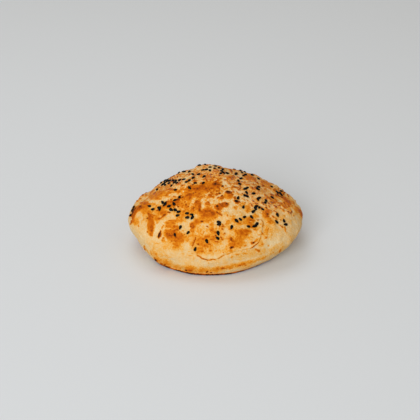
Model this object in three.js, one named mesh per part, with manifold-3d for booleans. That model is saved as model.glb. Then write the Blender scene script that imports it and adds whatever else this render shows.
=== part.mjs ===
// A puffed lavash: one round flatbread that rose into a low dome on its baking stone.
// It rests on a flat foot, its crust is gently lumpy, and black seeds are baked into the top.
// Millimetres, +Z up, +X to the right and -Y to the front. The origin is under the middle of the bread.

import * as THREE from 'three';
import { mergeVertices } from 'three/addons/utils/BufferGeometryUtils.js';
import Module from 'manifold-3d';

// Driving dimensions of the loaf
const HALF_WIDTH = 78;
const HALF_DEPTH = 64.5;
const CROWN_HEIGHT = 69;
const CROWN_OFFSET = { x: -7.5, y: 4 };
const RIM_HEIGHT = 24;
const HEART_HEIGHT = 24;
const FLANK_FLATTENING = 0.065;
const FOOT_SHARE = 0.68;
const BOX_MIDDLE = { x: -0.65, y: 0.65 };

// A place on the crust is a bearing and a reach. The bearing is in degrees: 0 right, 90 back, -90 front.
// The reach is 0 at the crown, 1 on the rim, which is the widest belt, and 2 in the middle of the underside.
const RIM_POLAR_ANGLE = 2.0;
const ROLL_SHARE = 0.62;
const FOOT_FADE = 0.35;

// Slow waves round the loaf: cycles, amount, and the bearing of a crest
const OUTLINE_WAVES = [[2, 0.020, 0], [2, 0.010, 45], [3, 0.018, 90]];
const RIM_WAVES = [[1, 1.8, 0], [2, 2.4, 0]];
const FLANK_WAVES = [[1, 0.02, 90], [2, 0.01, 0]];
const FOOT_WAVES = [[1, 0.09, -90], [2, 0.085, 90], [2, 0.07, 45]];

// Swellings and dents of the crust: bearing, reach, radius and height
const SWELLINGS = [
  [90, 0.12, 14, 1.6],
  [45, 0.42, 20, 1.0],
  [160, 0.55, 22, -3.0],
  [18, 0.75, 22, -2.6],
  [-76, 0.76, 22, 1.2],
  [195, 1.22, 24, -3.0],
  [-10, 1.22, 24, -3.2],
];

// Lumps all over the crust: waves that run through it in evenly turned directions
const LUMP_WAVES = 14;
const LUMP_LENGTHS = { longest: 42, shortest: 17 };
const LUMP_HEIGHT = 0.2;
const GOLDEN_ANGLE = Math.PI * (3 - Math.sqrt(5));

// Black seeds, each laid flat on the crust and sunk into it a little
const SEED = { length: 3.3, width: 1.9, thickness: 1.25, stand: 0.22, taper: 0.35, spread: 0.14 };
const SEED_SIDES = { round: 5, along: 3 };
const SEED_SPACING = 1.9;
const SEED_TRIES = 40;
const SEED_DRAW = 20;

// Pinches of seeds that landed together: bearing, reach, radius and count
const PINCHES = [
  [110, 0.12, 8, 3], [90, 0.03, 7, 4], [-167, 0.10, 7, 3], [-151, 0.175, 6, 4], [-125, 0.18, 12, 4],
  [-168, 0.21, 7, 3], [165, 0.16, 8, 3], [-173, 0.28, 6, 6], [174, 0.37, 8, 8], [-164, 0.32, 6, 2],
  [174, 0.45, 9, 3], [-140, 0.415, 7, 4], [-147, 0.515, 6, 4], [-157, 0.60, 8, 5], [-129, 0.545, 8, 5],
  [-110, 0.555, 5, 4], [-115, 0.73, 9, 3], [-98, 0.855, 9, 2], [-173, 0.80, 6, 5],
  [48, 0.09, 8, 5], [-6, 0.11, 7, 5], [12, 0.27, 9, 4], [30, 0.36, 10, 4], [-13, 0.255, 6, 4],
  [-23, 0.33, 5, 3], [-35, 0.38, 7, 4], [-10, 0.415, 5, 3], [-55, 0.375, 6, 4], [-33, 0.465, 5, 4],
  [-28, 0.515, 5, 4], [5, 0.61, 9, 6], [-18, 0.545, 4, 2], [-42, 0.54, 7, 6], [-54, 0.54, 8, 3],
  [-64, 0.60, 7, 3], [-81, 0.66, 9, 3], [-85, 0.75, 6, 2], [-56, 0.67, 6, 5], [-31, 0.73, 9, 4],
];

// Pinches on the far side, thrown at random over this stretch
const BACK_THROWS = { count: 7, bearing: [45, 150], reach: [0.2, 0.72], radius: 9, seeds: 4 };

// Facets of the crust: each edge of the starting icosahedron is cut into one more piece than this.
// Its slope is measured by small steps on the sphere of directions.
const CRUST_DETAIL = 13;
const MERGE_DISTANCE = 0.001;
const SLOPE_STEP = 0.01;
const NEARLY_UPRIGHT = 0.9;
const CRUST_COLOUR = 0xdfa35a;

const wasm = await Module();
wasm.setup();

// A repeatable draw of numbers from 0 to 1, by the mixing steps of the mulberry32 generator
function seededDraw(seed) {
  let state = seed >>> 0;
  return () => {
    state = (state + 0x6d2b79f5) >>> 0;
    let mixed = Math.imul(state ^ (state >>> 15), state | 1);
    mixed ^= mixed + Math.imul(mixed ^ (mixed >>> 7), mixed | 61);
    return ((mixed ^ (mixed >>> 14)) >>> 0) / 4294967296;
  };
}

function between(low, high, share) {
  return low + (high - low) * share;
}

function waveSum(waves, bearing) {
  return waves.reduce((sum, [cycles, amount, crest]) => {
    return sum + amount * Math.cos(cycles * (bearing - THREE.MathUtils.degToRad(crest)));
  }, 0);
}

// The unit direction that stands for a place on the crust
function placeDirection(bearingDegrees, reach) {
  const bearing = THREE.MathUtils.degToRad(bearingDegrees);
  const below = (reach - 1) * (Math.PI - RIM_POLAR_ANGLE);
  const polar = reach < 1 ? RIM_POLAR_ANGLE * reach : RIM_POLAR_ANGLE + below;
  const level = Math.sin(polar);
  return new THREE.Vector3(level * Math.cos(bearing), level * Math.sin(bearing), Math.cos(polar));
}

// The smooth loaf: a dome above the rim, and below it a round roll down to the flat foot
function smoothLoaf(direction) {
  const bearing = Math.atan2(direction.y, direction.x);
  const polar = Math.acos(THREE.MathUtils.clamp(direction.z, -1, 1));
  const outline = 1 + waveSum(OUTLINE_WAVES, bearing);
  const rim = RIM_HEIGHT + waveSum(RIM_WAVES, bearing);
  const foot = FOOT_SHARE + waveSum(FOOT_WAVES, bearing);
  let lift = 0;
  let radius;
  let height;
  if (polar < RIM_POLAR_ANGLE) {
    const climb = (polar / RIM_POLAR_ANGLE) * (Math.PI / 2);
    const drawnIn = (FLANK_FLATTENING + waveSum(FLANK_WAVES, bearing)) * Math.sin(2 * climb) ** 2;
    lift = Math.cos(climb) - drawnIn;
    radius = outline * (Math.sin(climb) - drawnIn);
    height = rim + (CROWN_HEIGHT - rim) * lift;
  } else {
    const below = (polar - RIM_POLAR_ANGLE) / (Math.PI - RIM_POLAR_ANGLE);
    const roll = Math.min(below / ROLL_SHARE, 1) * (Math.PI / 2);
    const inward = Math.min((1 - below) / (1 - ROLL_SHARE), 1);
    radius = below < ROLL_SHARE ? foot + (outline - foot) * Math.cos(roll) : foot * inward;
    height = below < ROLL_SHARE ? rim * (1 - Math.sin(roll)) : 0;
  }
  return new THREE.Vector3(
    HALF_WIDTH * radius * Math.cos(bearing) + CROWN_OFFSET.x * lift,
    HALF_DEPTH * radius * Math.sin(bearing) + CROWN_OFFSET.y * lift,
    height,
  );
}

// Waves of the lumps, their directions spread evenly over a sphere by the golden angle
const lumpWaves = Array.from({ length: LUMP_WAVES }, (_, index) => {
  const share = (index + 0.5) / LUMP_WAVES;
  const rise = 1 - 2 * share;
  const level = Math.sqrt(1 - rise * rise);
  const turn = index * GOLDEN_ANGLE;
  const length = between(LUMP_LENGTHS.longest, LUMP_LENGTHS.shortest, share);
  const direction = new THREE.Vector3(level * Math.cos(turn), level * Math.sin(turn), rise);
  return { step: direction.multiplyScalar((2 * Math.PI) / length), phase: turn * turn };
});

function lumpHeight(point) {
  return lumpWaves.reduce((sum, { step, phase }) => {
    return sum + LUMP_HEIGHT * Math.sin(step.dot(point) + phase);
  }, 0);
}

const swellings = SWELLINGS.map(([bearing, reach, radius, height]) => {
  return { middle: smoothLoaf(placeDirection(bearing, reach)), radius, height };
});

// The real crust: swellings and lumps push it out from the heart, and fade out before the flat foot
function crustPoint(direction) {
  const point = smoothLoaf(direction);
  const polar = Math.acos(THREE.MathUtils.clamp(direction.z, -1, 1));
  const footPolar = between(RIM_POLAR_ANGLE, Math.PI, ROLL_SHARE);
  const fade = THREE.MathUtils.clamp((footPolar - polar) / FOOT_FADE, 0, 1);
  const swelling = swellings.reduce((sum, { middle, radius, height }) => {
    return sum + height * Math.exp(-point.distanceToSquared(middle) / (radius * radius));
  }, 0);
  const push = fade * (swelling + lumpHeight(point));
  const ray = point.clone().sub(new THREE.Vector3(0, 0, HEART_HEIGHT)).normalize();
  point.addScaledVector(ray, push);
  point.z = Math.max(point.z, 0);
  point.x -= BOX_MIDDLE.x;
  point.y -= BOX_MIDDLE.y;
  return point;
}

// The crust at a direction, with two level steps on the sphere and what each moves the crust by
function crustPatch(direction) {
  const upright = Math.abs(direction.z) > NEARLY_UPRIGHT;
  const side = upright ? new THREE.Vector3(1, 0, 0) : new THREE.Vector3(0, 0, 1);
  const stepA = new THREE.Vector3().crossVectors(side, direction).normalize();
  const stepB = new THREE.Vector3().crossVectors(direction, stepA);
  const moved = (step) => {
    const ahead = crustPoint(direction.clone().addScaledVector(step, SLOPE_STEP).normalize());
    const behind = crustPoint(direction.clone().addScaledVector(step, -SLOPE_STEP).normalize());
    return ahead.sub(behind).divideScalar(2 * SLOPE_STEP);
  };
  const slopeA = moved(stepA);
  const slopeB = moved(stepB);
  const normal = new THREE.Vector3().crossVectors(slopeA, slopeB).normalize();
  return { point: crustPoint(direction), normal, stepA, stepB, slopeA, slopeB };
}

// Where every seed lies: its place, the way it faces, its heading and its size
function scatterSeeds() {
  const draw = seededDraw(SEED_DRAW);
  const seeds = [];
  const throwPinch = (bearing, reach, radius, count) => {
    const home = placeDirection(bearing, reach);
    const { stepA, stepB, slopeA, slopeB } = crustPatch(home);
    let left = count;
    for (let attempt = 0; attempt < SEED_TRIES && left > 0; attempt += 1) {
      const away = radius * Math.sqrt(draw());
      const turn = 2 * Math.PI * draw();
      const heading = 2 * Math.PI * draw();
      const size = 1 + SEED.spread * (2 * draw() - 1);
      const direction = home.clone();
      direction.addScaledVector(stepA, (away * Math.cos(turn)) / slopeA.length());
      direction.addScaledVector(stepB, (away * Math.sin(turn)) / slopeB.length());
      const patch = crustPatch(direction.normalize());
      const crowded = seeds.some((seed) => seed.point.distanceTo(patch.point) < SEED_SPACING);
      if (!crowded) {
        seeds.push({ ...patch, heading, size });
        left -= 1;
      }
    }
  };
  PINCHES.forEach((pinch) => throwPinch(...pinch));
  for (let index = 0; index < BACK_THROWS.count; index += 1) {
    const bearing = between(...BACK_THROWS.bearing, (index + draw()) / BACK_THROWS.count);
    const reach = between(...BACK_THROWS.reach, draw());
    throwPinch(bearing, reach, BACK_THROWS.radius, BACK_THROWS.seeds);
  }
  return seeds;
}

// A seed is a drop that narrows to one end, lying in the plane of the crust
function seedGeometry({ point, normal, slopeA, heading, size }) {
  const geometry = new THREE.SphereGeometry(1, SEED_SIDES.round, SEED_SIDES.along);
  const position = geometry.getAttribute('position');
  const half = { width: SEED.width / 2, length: SEED.length / 2, thickness: SEED.thickness / 2 };
  for (let index = 0; index < position.count; index += 1) {
    const narrow = 1 - SEED.taper * position.getY(index);
    position.setXYZ(
      index,
      position.getX(index) * half.width * narrow,
      position.getY(index) * half.length,
      position.getZ(index) * half.thickness,
    );
  }
  const across = slopeA.clone().projectOnPlane(normal).normalize().applyAxisAngle(normal, heading);
  const along = new THREE.Vector3().crossVectors(normal, across);
  const frame = new THREE.Matrix4().makeBasis(across, along, normal);
  frame.scale(new THREE.Vector3(size, size, size));
  frame.setPosition(point.clone().addScaledVector(normal, SEED.stand));
  return geometry.applyMatrix4(frame);
}

function crustGeometry() {
  const geometry = new THREE.IcosahedronGeometry(1, CRUST_DETAIL);
  const position = geometry.getAttribute('position');
  const direction = new THREE.Vector3();
  for (let index = 0; index < position.count; index += 1) {
    direction.fromBufferAttribute(position, index).normalize();
    position.setXYZ(index, ...crustPoint(direction));
  }
  return geometry;
}

// A closed three.js mesh as a solid that can be joined
function toSolid(geometry) {
  geometry.deleteAttribute('normal');
  geometry.deleteAttribute('uv');
  const merged = mergeVertices(geometry, MERGE_DISTANCE);
  return new wasm.Manifold(new wasm.Mesh({
    numProp: 3,
    vertProperties: new Float32Array(merged.getAttribute('position').array),
    triVerts: new Uint32Array(merged.index.array),
  }));
}

function toGeometry(solid) {
  const mesh = solid.getMesh();
  const geometry = new THREE.BufferGeometry();
  geometry.setAttribute('position', new THREE.BufferAttribute(mesh.vertProperties, 3));
  geometry.setIndex(new THREE.BufferAttribute(mesh.triVerts, 1));
  geometry.computeVertexNormals();
  return geometry;
}

function makeLavash() {
  let bread = toSolid(crustGeometry());
  for (const seed of scatterSeeds()) {
    bread = bread.add(toSolid(seedGeometry(seed)));
  }
  const material = new THREE.MeshStandardMaterial({ color: CRUST_COLOUR, roughness: 0.75, metalness: 0 });
  const mesh = new THREE.Mesh(toGeometry(bread), material);
  mesh.name = 'lavash';
  return mesh;
}

const model = new THREE.Group();
model.name = 'puffed_lavash';
model.add(makeLavash());

export default model;
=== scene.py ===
"""A puffed lavash with a toasted, blistered crust and black sesame seeds, on a pale studio floor."""

from __future__ import annotations

import logging
import math
from dataclasses import dataclass
from enum import Enum
from typing import Any, Callable, ClassVar, NamedTuple, TypeVar

import bpy
import numpy as np
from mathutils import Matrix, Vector, noise
from mathutils.kdtree import KDTree

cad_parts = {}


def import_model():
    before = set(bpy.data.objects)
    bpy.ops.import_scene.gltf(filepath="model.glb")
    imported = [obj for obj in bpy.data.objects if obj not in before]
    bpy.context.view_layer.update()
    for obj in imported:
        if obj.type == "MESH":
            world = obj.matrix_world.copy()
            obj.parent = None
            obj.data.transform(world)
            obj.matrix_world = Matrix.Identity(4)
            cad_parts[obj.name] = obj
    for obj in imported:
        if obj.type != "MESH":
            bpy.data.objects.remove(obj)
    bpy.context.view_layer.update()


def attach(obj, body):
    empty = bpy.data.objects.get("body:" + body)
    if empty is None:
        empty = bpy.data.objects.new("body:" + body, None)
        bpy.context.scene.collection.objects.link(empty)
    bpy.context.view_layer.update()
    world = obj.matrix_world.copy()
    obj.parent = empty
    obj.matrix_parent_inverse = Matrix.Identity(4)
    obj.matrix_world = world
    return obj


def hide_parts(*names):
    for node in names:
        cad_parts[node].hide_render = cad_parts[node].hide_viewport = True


log = logging.getLogger("lavash")

MM = 0.001
GOLDEN_ANGLE = math.pi * (3.0 - math.sqrt(5.0))
SRGB_KNEE = 0.04045
SRGB_SLOPE = 12.92
SRGB_OFFSET = 0.055
SRGB_POWER = 2.4
FULL_BYTE = 255.0
QUAD_CORNERS = 4
# each layer of cloudy noise is finer by the step, and weaker by the step to the power of the fading
NOISE_FADING = 1.0
NOISE_STEP = 2.0
# the colour sockets of a mix node go by number, because it has several of the same name
MIX_SHARE = 0
MIX_UNDER = 6
MIX_OVER = 7
MIX_RESULT = 2

Route = tuple[tuple[float, float], ...]
Row = TypeVar("Row")


class Slot(Enum):
    """The record's material slots."""

    CRUST = "crust"
    SEEDS = "seeds"


class Layer(Enum):
    """What the crust's mesh carries at each point for its material."""

    TOAST = "toast"
    FLOUR = "flour"
    SPECKLE = "speckle"


class Fall(NamedTuple):
    """A smooth change from 1 at one value to 0 at another, which may be the larger or the smaller."""

    full: float
    none: float


class Cloud(NamedTuple):
    """Cloudy noise: its largest clouds in millimetres, its layers, and a shift that makes fields differ."""

    size: float
    layers: int
    shift: float


class Wave(NamedTuple):
    """A slow wave round the loaf, with its crest at a bearing in degrees."""

    cycles: int
    amount: float
    crest: float


class Swelling(NamedTuple):
    """A broad swelling of the loaf, or a dent where the height is negative, in millimetres."""

    bearing: float
    reach: float
    radius: float
    height: float


class Pinch(NamedTuple):
    """A few seeds that landed together within a radius in millimetres."""

    bearing: float
    reach: float
    radius: float
    count: int


class SeedMark(NamedTuple):
    """A seed on the picture: its middle in pixels, and the tilt of its long side in degrees."""

    x: float
    y: float
    tilt: float


class Seed(NamedTuple):
    """A seed on the crust: where it lies, the way it faces, the way it points, and its size as a share."""

    place: np.ndarray
    normal: np.ndarray
    along: np.ndarray
    size: float


class Thrown(NamedTuple):
    """A thrown seed: the crust under it, its heading in radians, and its size as a share."""

    spot: CrustPatch
    heading: float
    size: float


class Mark(NamedTuple):
    """A mark on the picture: middle and half sizes in pixels, how strong it is, and its tilt in degrees."""

    x: float
    y: float
    wide: float
    high: float
    level: float
    tilt: float = 0.0

    def away(self, places: np.ndarray) -> np.ndarray:
        """Measures how far places are from the mark's middle.

        Args:
            places: places on the picture, one a row.

        Returns:
            The distances, as a share of the mark's half sizes.
        """
        tilt = math.radians(self.tilt)
        away_x = places[:, 0] - self.x
        away_y = places[:, 1] - self.y
        along = away_x * math.cos(tilt) - away_y * math.sin(tilt)
        across = away_x * math.sin(tilt) + away_y * math.cos(tilt)
        return np.hypot(along / self.wide, across / self.high)


class Crumb(NamedTuple):
    """A crumb on the crust: its middle on the picture in pixels, and its height in millimetres."""

    x: float
    y: float
    height: float


class FleckField(NamedTuple):
    """A stretch of the picture with small flecks: middle and half sizes in pixels, their tilt and count."""

    x: float
    y: float
    wide: float
    high: float
    tilt: float
    count: int


class Spot(NamedTuple):
    """A toasted spot on the loaf: half sizes across and up it in millimetres, and how toasted it is."""

    bearing: float
    reach: float
    across: float
    up: float
    level: float


class SpotRule(NamedTuple):
    """How a kind of toasted spot is thrown over the sides out of view, each span from low to high."""

    count: int
    bearing: tuple[float, float]
    reach: tuple[float, float]
    across: tuple[float, float]
    up: tuple[float, float]
    level: tuple[float, float]


class Stroke(NamedTuple):
    """A line on the picture: its places and half width in pixels, and how strong it is."""

    places: Route
    width: float
    level: float

    def away(self, places: np.ndarray) -> np.ndarray:
        """Returns how far places on the picture are from the line, as a share of its half width."""
        return route_distance(places, self.places)[0] / self.width


class Dough(NamedTuple):
    """The dough before baking, point by point: where it lies, and the noise in it."""

    points: np.ndarray
    reach: np.ndarray
    seen: np.ndarray
    upper: np.ndarray
    crown: np.ndarray
    sole: np.ndarray
    wander: np.ndarray
    jitter: np.ndarray
    clouds: np.ndarray
    mottle: np.ndarray
    wrinkles: np.ndarray
    streaks: np.ndarray


class Baked(NamedTuple):
    """The crust after baking, point by point: the material's layers, and the rise in millimetres."""

    toast: np.ndarray
    flour: np.ndarray
    speckle: np.ndarray
    rise: np.ndarray


class MapDisc(NamedTuple):
    """A disc on the crust's texture map: its middle and radius, and the stretch of reach that fills it."""

    middle: tuple[float, float]
    radius: float
    stretch: float


class Softbox(NamedTuple):
    """A square soft light: its name, its place and side in metres, and its power in watts."""

    name: str
    place: tuple[float, float, float]
    side: float
    power: float


def table(kind: Callable[..., Row], *rows: tuple[Any, ...]) -> tuple[Row, ...]:
    """Returns plain rows as rows of one kind, with its names for their values."""
    return tuple(kind(*row) for row in rows)


def to_linear(colour: str) -> tuple[float, float, float, float]:
    """Turns an sRGB hex colour into linear light.

    Args:
        colour: six hex digits with a leading hash.

    Returns:
        Linear red, green and blue, and an alpha of 1.
    """
    red, green, blue = (
        share / SRGB_SLOPE if share <= SRGB_KNEE
        else ((share + SRGB_OFFSET) / (1.0 + SRGB_OFFSET)) ** SRGB_POWER
        for share in (byte / FULL_BYTE for byte in bytes.fromhex(colour[1:]))
    )
    return red, green, blue, 1.0


def add_node(tree: bpy.types.NodeTree, kind: str, settings: dict[str, Any] | None = None,
             inputs: dict[str | int, Any] | None = None) -> bpy.types.Node:
    """Adds a shader node with its settings and what feeds it.

    Args:
        tree: the material's node tree.
        kind: the node's type name.
        settings: properties of the node.
        inputs: values for its input sockets, or output sockets to link to them.

    Returns:
        The new node.
    """
    node = tree.nodes.new(kind)
    for name, value in (settings or {}).items():
        setattr(node, name, value)
    for name, value in (inputs or {}).items():
        if isinstance(value, bpy.types.NodeSocket):
            tree.links.new(value, node.inputs[name])
        else:
            node.inputs[name].default_value = value
    return node


def add_math(tree: bpy.types.NodeTree, operation: str, *values: Any) -> bpy.types.NodeSocket:
    """Adds a node that reckons with numbers and sockets, and returns its result."""
    return add_node(tree, "ShaderNodeMath", {"operation": operation}, dict(enumerate(values))).outputs[0]


def add_noise(tree: bpy.types.NodeTree, place: bpy.types.NodeSocket, size_mm: float, layers: float,
              layer_share: float) -> bpy.types.NodeSocket:
    """Adds cloudy noise.

    Args:
        tree: the material's node tree.
        place: the coordinates that the noise is tied to.
        size_mm: the width of the largest clouds in millimetres.
        layers: how many finer layers are added.
        layer_share: the strength of each layer, as a share of the one before.

    Returns:
        The noise, from 0 to 1.
    """
    return add_node(tree, "ShaderNodeTexNoise", {}, {
        "Vector": place, "Scale": 1.0 / (size_mm * MM), "Detail": layers, "Roughness": layer_share,
    }).outputs["Fac"]


def start_material(name: str) -> tuple[bpy.types.Material, bpy.types.NodeTree, bpy.types.Node]:
    """Starts a material.

    Args:
        name: the name of the real material.

    Returns:
        The material, its node tree and its shader.
    """
    material = bpy.data.materials.new(name)
    material.use_nodes = True
    return material, material.node_tree, material.node_tree.nodes["Principled BSDF"]


def smooth_fall(values: np.ndarray, fall: Fall) -> np.ndarray:
    """Changes smoothly from 1 to 0.

    Args:
        values: what the change goes by.
        fall: where it is still 1, and where it has reached 0.

    Returns:
        The change at each value.
    """
    share = np.clip((fall.none - values) / (fall.none - fall.full), 0.0, 1.0)
    return share * share * (3.0 - 2.0 * share)


def noise_field(points: np.ndarray, cloud: Cloud) -> np.ndarray:
    """Works out cloudy noise between about -1 and 1.

    Args:
        points: places in millimetres.
        cloud: the kind of noise.

    Returns:
        The noise at each point.
    """
    scaled = points / cloud.size + cloud.shift
    return np.array([
        noise.fractal(Vector(point), NOISE_FADING, NOISE_STEP, cloud.layers) for point in scaled.tolist()
    ])


def noise_vectors(points: np.ndarray, cloud: Cloud) -> np.ndarray:
    """Returns a vector of cloudy noise at each point, with a shift of its own for each axis."""
    return np.stack([noise_field(points, cloud._replace(shift=cloud.shift * n)) for n in (1, 2, 3)], axis=1)


def route_distance(places: np.ndarray, route: Route) -> tuple[np.ndarray, np.ndarray]:
    """Measures how far places on the picture are from a route.

    Args:
        places: places on the picture, one a row.
        route: places along the route.

    Returns:
        The distance in pixels, and a number that is positive left of the route, seen along it.
    """
    best = np.full(len(places), np.inf)
    side = np.zeros(len(places))
    for start, end in zip(route, route[1:]):
        way = np.array(end) - np.array(start)
        away = places - np.array(start)
        share = np.clip(away @ way / way.dot(way), 0.0, 1.0)
        distance = np.hypot(away[:, 0] - share * way[0], away[:, 1] - share * way[1])
        nearer = distance < best
        best = np.where(nearer, distance, best)
        side = np.where(nearer, away[:, 0] * way[1] - away[:, 1] * way[0], side)
    return best, side


@dataclass
class SeededDraw:
    """Repeatable numbers from 0 to 1, by the mixing steps of the mulberry32 generator."""

    state: int
    mask: ClassVar[int] = 0xFFFFFFFF
    step: ClassVar[int] = 0x6D2B79F5
    shifts: ClassVar[tuple[int, int, int]] = (15, 7, 14)
    mixer: ClassVar[int] = 61

    def __call__(self) -> float:
        """Returns the next number."""
        first, second, last = self.shifts
        self.state = (self.state + self.step) & self.mask
        mixed = ((self.state ^ (self.state >> first)) * (self.state | 1)) & self.mask
        mixed ^= (mixed + ((mixed ^ (mixed >> second)) * (mixed | self.mixer))) & self.mask
        return ((mixed ^ (mixed >> last)) & self.mask) / (self.mask + 1)

    def between(self, low: float, high: float) -> float:
        """Returns the next number, spread between two limits."""
        return low + (high - low) * self()


@dataclass(frozen=True)
class LoafForm:
    """The loaf's form, in millimetres, worked out as the solid's is.

    A place on the crust is a bearing in degrees, 0 right, 90 back and -90 front, and a reach, which is
    0 at the crown, 1 on the rim, the widest belt, and 2 in the middle of the underside.
    """

    half_width: float = 78.0
    half_depth: float = 64.5
    crown_height: float = 69.0
    crown_offset: tuple[float, float] = (-7.5, 4.0)
    rim_height: float = 24.0
    heart_height: float = 24.0
    flank_flattening: float = 0.065
    foot_share: float = 0.68
    box_middle: tuple[float, float] = (-0.65, 0.65)
    rim_polar_angle: float = 2.0
    roll_share: float = 0.62
    foot_fade: float = 0.35
    slope_step: float = 0.01
    nearly_upright: float = 0.9
    outline_waves: tuple[Wave, ...] = (Wave(2, 0.020, 0), Wave(2, 0.010, 45), Wave(3, 0.018, 90))
    rim_waves: tuple[Wave, ...] = (Wave(1, 1.8, 0), Wave(2, 2.4, 0))
    flank_waves: tuple[Wave, ...] = (Wave(1, 0.02, 90), Wave(2, 0.01, 0))
    foot_waves: tuple[Wave, ...] = (Wave(1, 0.09, -90), Wave(2, 0.085, 90), Wave(2, 0.07, 45))
    swellings: tuple[Swelling, ...] = (
        Swelling(90, 0.12, 14, 1.6), Swelling(45, 0.42, 20, 1.0), Swelling(160, 0.55, 22, -3.0),
        Swelling(18, 0.75, 22, -2.6), Swelling(-76, 0.76, 22, 1.2), Swelling(195, 1.22, 24, -3.0),
        Swelling(-10, 1.22, 24, -3.2),
    )
    lump_waves: int = 14
    lump_longest: float = 42.0
    lump_shortest: float = 17.0
    lump_height: float = 0.2

    def direction(self, bearing: float, reach: float) -> np.ndarray:
        """Finds the unit direction that stands for a place on the crust.

        Args:
            bearing: the place's bearing in degrees.
            reach: its reach.

        Returns:
            The unit direction.
        """
        below = (reach - 1.0) * (math.pi - self.rim_polar_angle)
        polar = self.rim_polar_angle * reach if reach < 1.0 else self.rim_polar_angle + below
        turn = math.radians(bearing)
        level = math.sin(polar)
        return np.array([level * math.cos(turn), level * math.sin(turn), math.cos(polar)])

    def places(self, directions: np.ndarray) -> tuple[np.ndarray, np.ndarray]:
        """Finds the bearing and reach of directions.

        Args:
            directions: unit vectors, one a row.

        Returns:
            Bearings in degrees, and reaches.
        """
        polar = np.arccos(np.clip(directions[:, 2], -1.0, 1.0))
        upper = polar / self.rim_polar_angle
        lower = 1.0 + (polar - self.rim_polar_angle) / (math.pi - self.rim_polar_angle)
        bearing = np.degrees(np.arctan2(directions[:, 1], directions[:, 0]))
        return bearing, np.where(upper < 1.0, upper, lower)

    @staticmethod
    def wave_sum(waves: tuple[Wave, ...], turn: np.ndarray) -> np.ndarray:
        """Returns the sum of slow waves at bearings in radians."""
        return sum(w.amount * np.cos(w.cycles * (turn - math.radians(w.crest))) for w in waves)

    def smooth(self, directions: np.ndarray) -> np.ndarray:
        """The smooth loaf: a dome above the rim, and below it a round roll down to the flat foot.

        Args:
            directions: unit vectors, one a row.

        Returns:
            Points of the smooth loaf.
        """
        turn = np.arctan2(directions[:, 1], directions[:, 0])
        polar = np.arccos(np.clip(directions[:, 2], -1.0, 1.0))
        outline = 1.0 + self.wave_sum(self.outline_waves, turn)
        rim = self.rim_height + self.wave_sum(self.rim_waves, turn)
        foot = self.foot_share + self.wave_sum(self.foot_waves, turn)
        above = polar < self.rim_polar_angle
        climb = np.where(above, polar / self.rim_polar_angle, 1.0) * (math.pi / 2.0)
        flattening = self.flank_flattening + self.wave_sum(self.flank_waves, turn)
        drawn_in = flattening * np.sin(2.0 * climb) ** 2
        lift = np.where(above, np.cos(climb) - drawn_in, 0.0)
        below = np.clip((polar - self.rim_polar_angle) / (math.pi - self.rim_polar_angle), 0.0, 1.0)
        roll = np.clip(below / self.roll_share, 0.0, 1.0) * (math.pi / 2.0)
        inward = np.clip((1.0 - below) / (1.0 - self.roll_share), 0.0, 1.0)
        rolled = np.where(below < self.roll_share, foot + (outline - foot) * np.cos(roll), foot * inward)
        radius = np.where(above, outline * (np.sin(climb) - drawn_in), rolled)
        dome = rim + (self.crown_height - rim) * lift
        height = np.where(above, dome, rim * (1.0 - np.sin(roll)))
        return np.stack([
            self.half_width * radius * np.cos(turn) + self.crown_offset[0] * lift,
            self.half_depth * radius * np.sin(turn) + self.crown_offset[1] * lift,
            height,
        ], axis=1)

    def lumps(self, points: np.ndarray) -> np.ndarray:
        """Adds up the lumps that run all through the crust.

        Args:
            points: places in millimetres, one a row.

        Returns:
            The height of the lumps at each point.
        """
        total = np.zeros(len(points))
        for index in range(self.lump_waves):
            share = (index + 0.5) / self.lump_waves
            rise = 1.0 - 2.0 * share
            level = math.sqrt(1.0 - rise * rise)
            turn = index * GOLDEN_ANGLE
            length = self.lump_longest + (self.lump_shortest - self.lump_longest) * share
            heading = np.array([level * math.cos(turn), level * math.sin(turn), rise])
            step = heading * (2.0 * math.pi / length)
            total += self.lump_height * np.sin(points @ step + turn * turn)
        return total

    def crust(self, directions: np.ndarray) -> np.ndarray:
        """The crust with its swellings and lumps, which fade out before the flat foot.

        Args:
            directions: unit vectors, one a row.

        Returns:
            Points of the crust, in the part's frame.
        """
        points = self.smooth(directions)
        polar = np.arccos(np.clip(directions[:, 2], -1.0, 1.0))
        foot_polar = self.rim_polar_angle + (math.pi - self.rim_polar_angle) * self.roll_share
        fade = np.clip((foot_polar - polar) / self.foot_fade, 0.0, 1.0)
        push = self.lumps(points)
        for swelling in self.swellings:
            middle = self.smooth(self.direction(swelling.bearing, swelling.reach)[None])[0]
            away = np.sum((points - middle) ** 2, axis=1)
            push = push + swelling.height * np.exp(-away / swelling.radius ** 2)
        ray = points - np.array([0.0, 0.0, self.heart_height])
        ray /= np.linalg.norm(ray, axis=1, keepdims=True)
        points = points + ray * (push * fade)[:, None]
        points[:, 2] = np.maximum(points[:, 2], 0.0)
        points[:, :2] -= self.box_middle
        return points

    def patch(self, direction: np.ndarray) -> CrustPatch:
        """Measures the crust round one direction.

        Args:
            direction: a unit vector.

        Returns:
            The crust's point and normal there, and what two steps on the sphere move it by.
        """
        upright = abs(direction[2]) > self.nearly_upright
        side = np.array([1.0, 0.0, 0.0]) if upright else np.array([0.0, 0.0, 1.0])
        step_a = np.cross(side, direction)
        step_a /= np.linalg.norm(step_a)
        step_b = np.cross(direction, step_a)
        nudges = np.array([step_a, -step_a, step_b, -step_b]) * self.slope_step
        around = direction + nudges
        around /= np.linalg.norm(around, axis=1, keepdims=True)
        points = self.crust(np.vstack([direction[None], around]))
        slope_a = (points[1] - points[2]) / (2.0 * self.slope_step)
        slope_b = (points[3] - points[4]) / (2.0 * self.slope_step)
        normal = np.cross(slope_a, slope_b)
        normal /= np.linalg.norm(normal)
        return CrustPatch(points[0], normal, step_a, step_b, slope_a, slope_b)


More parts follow.
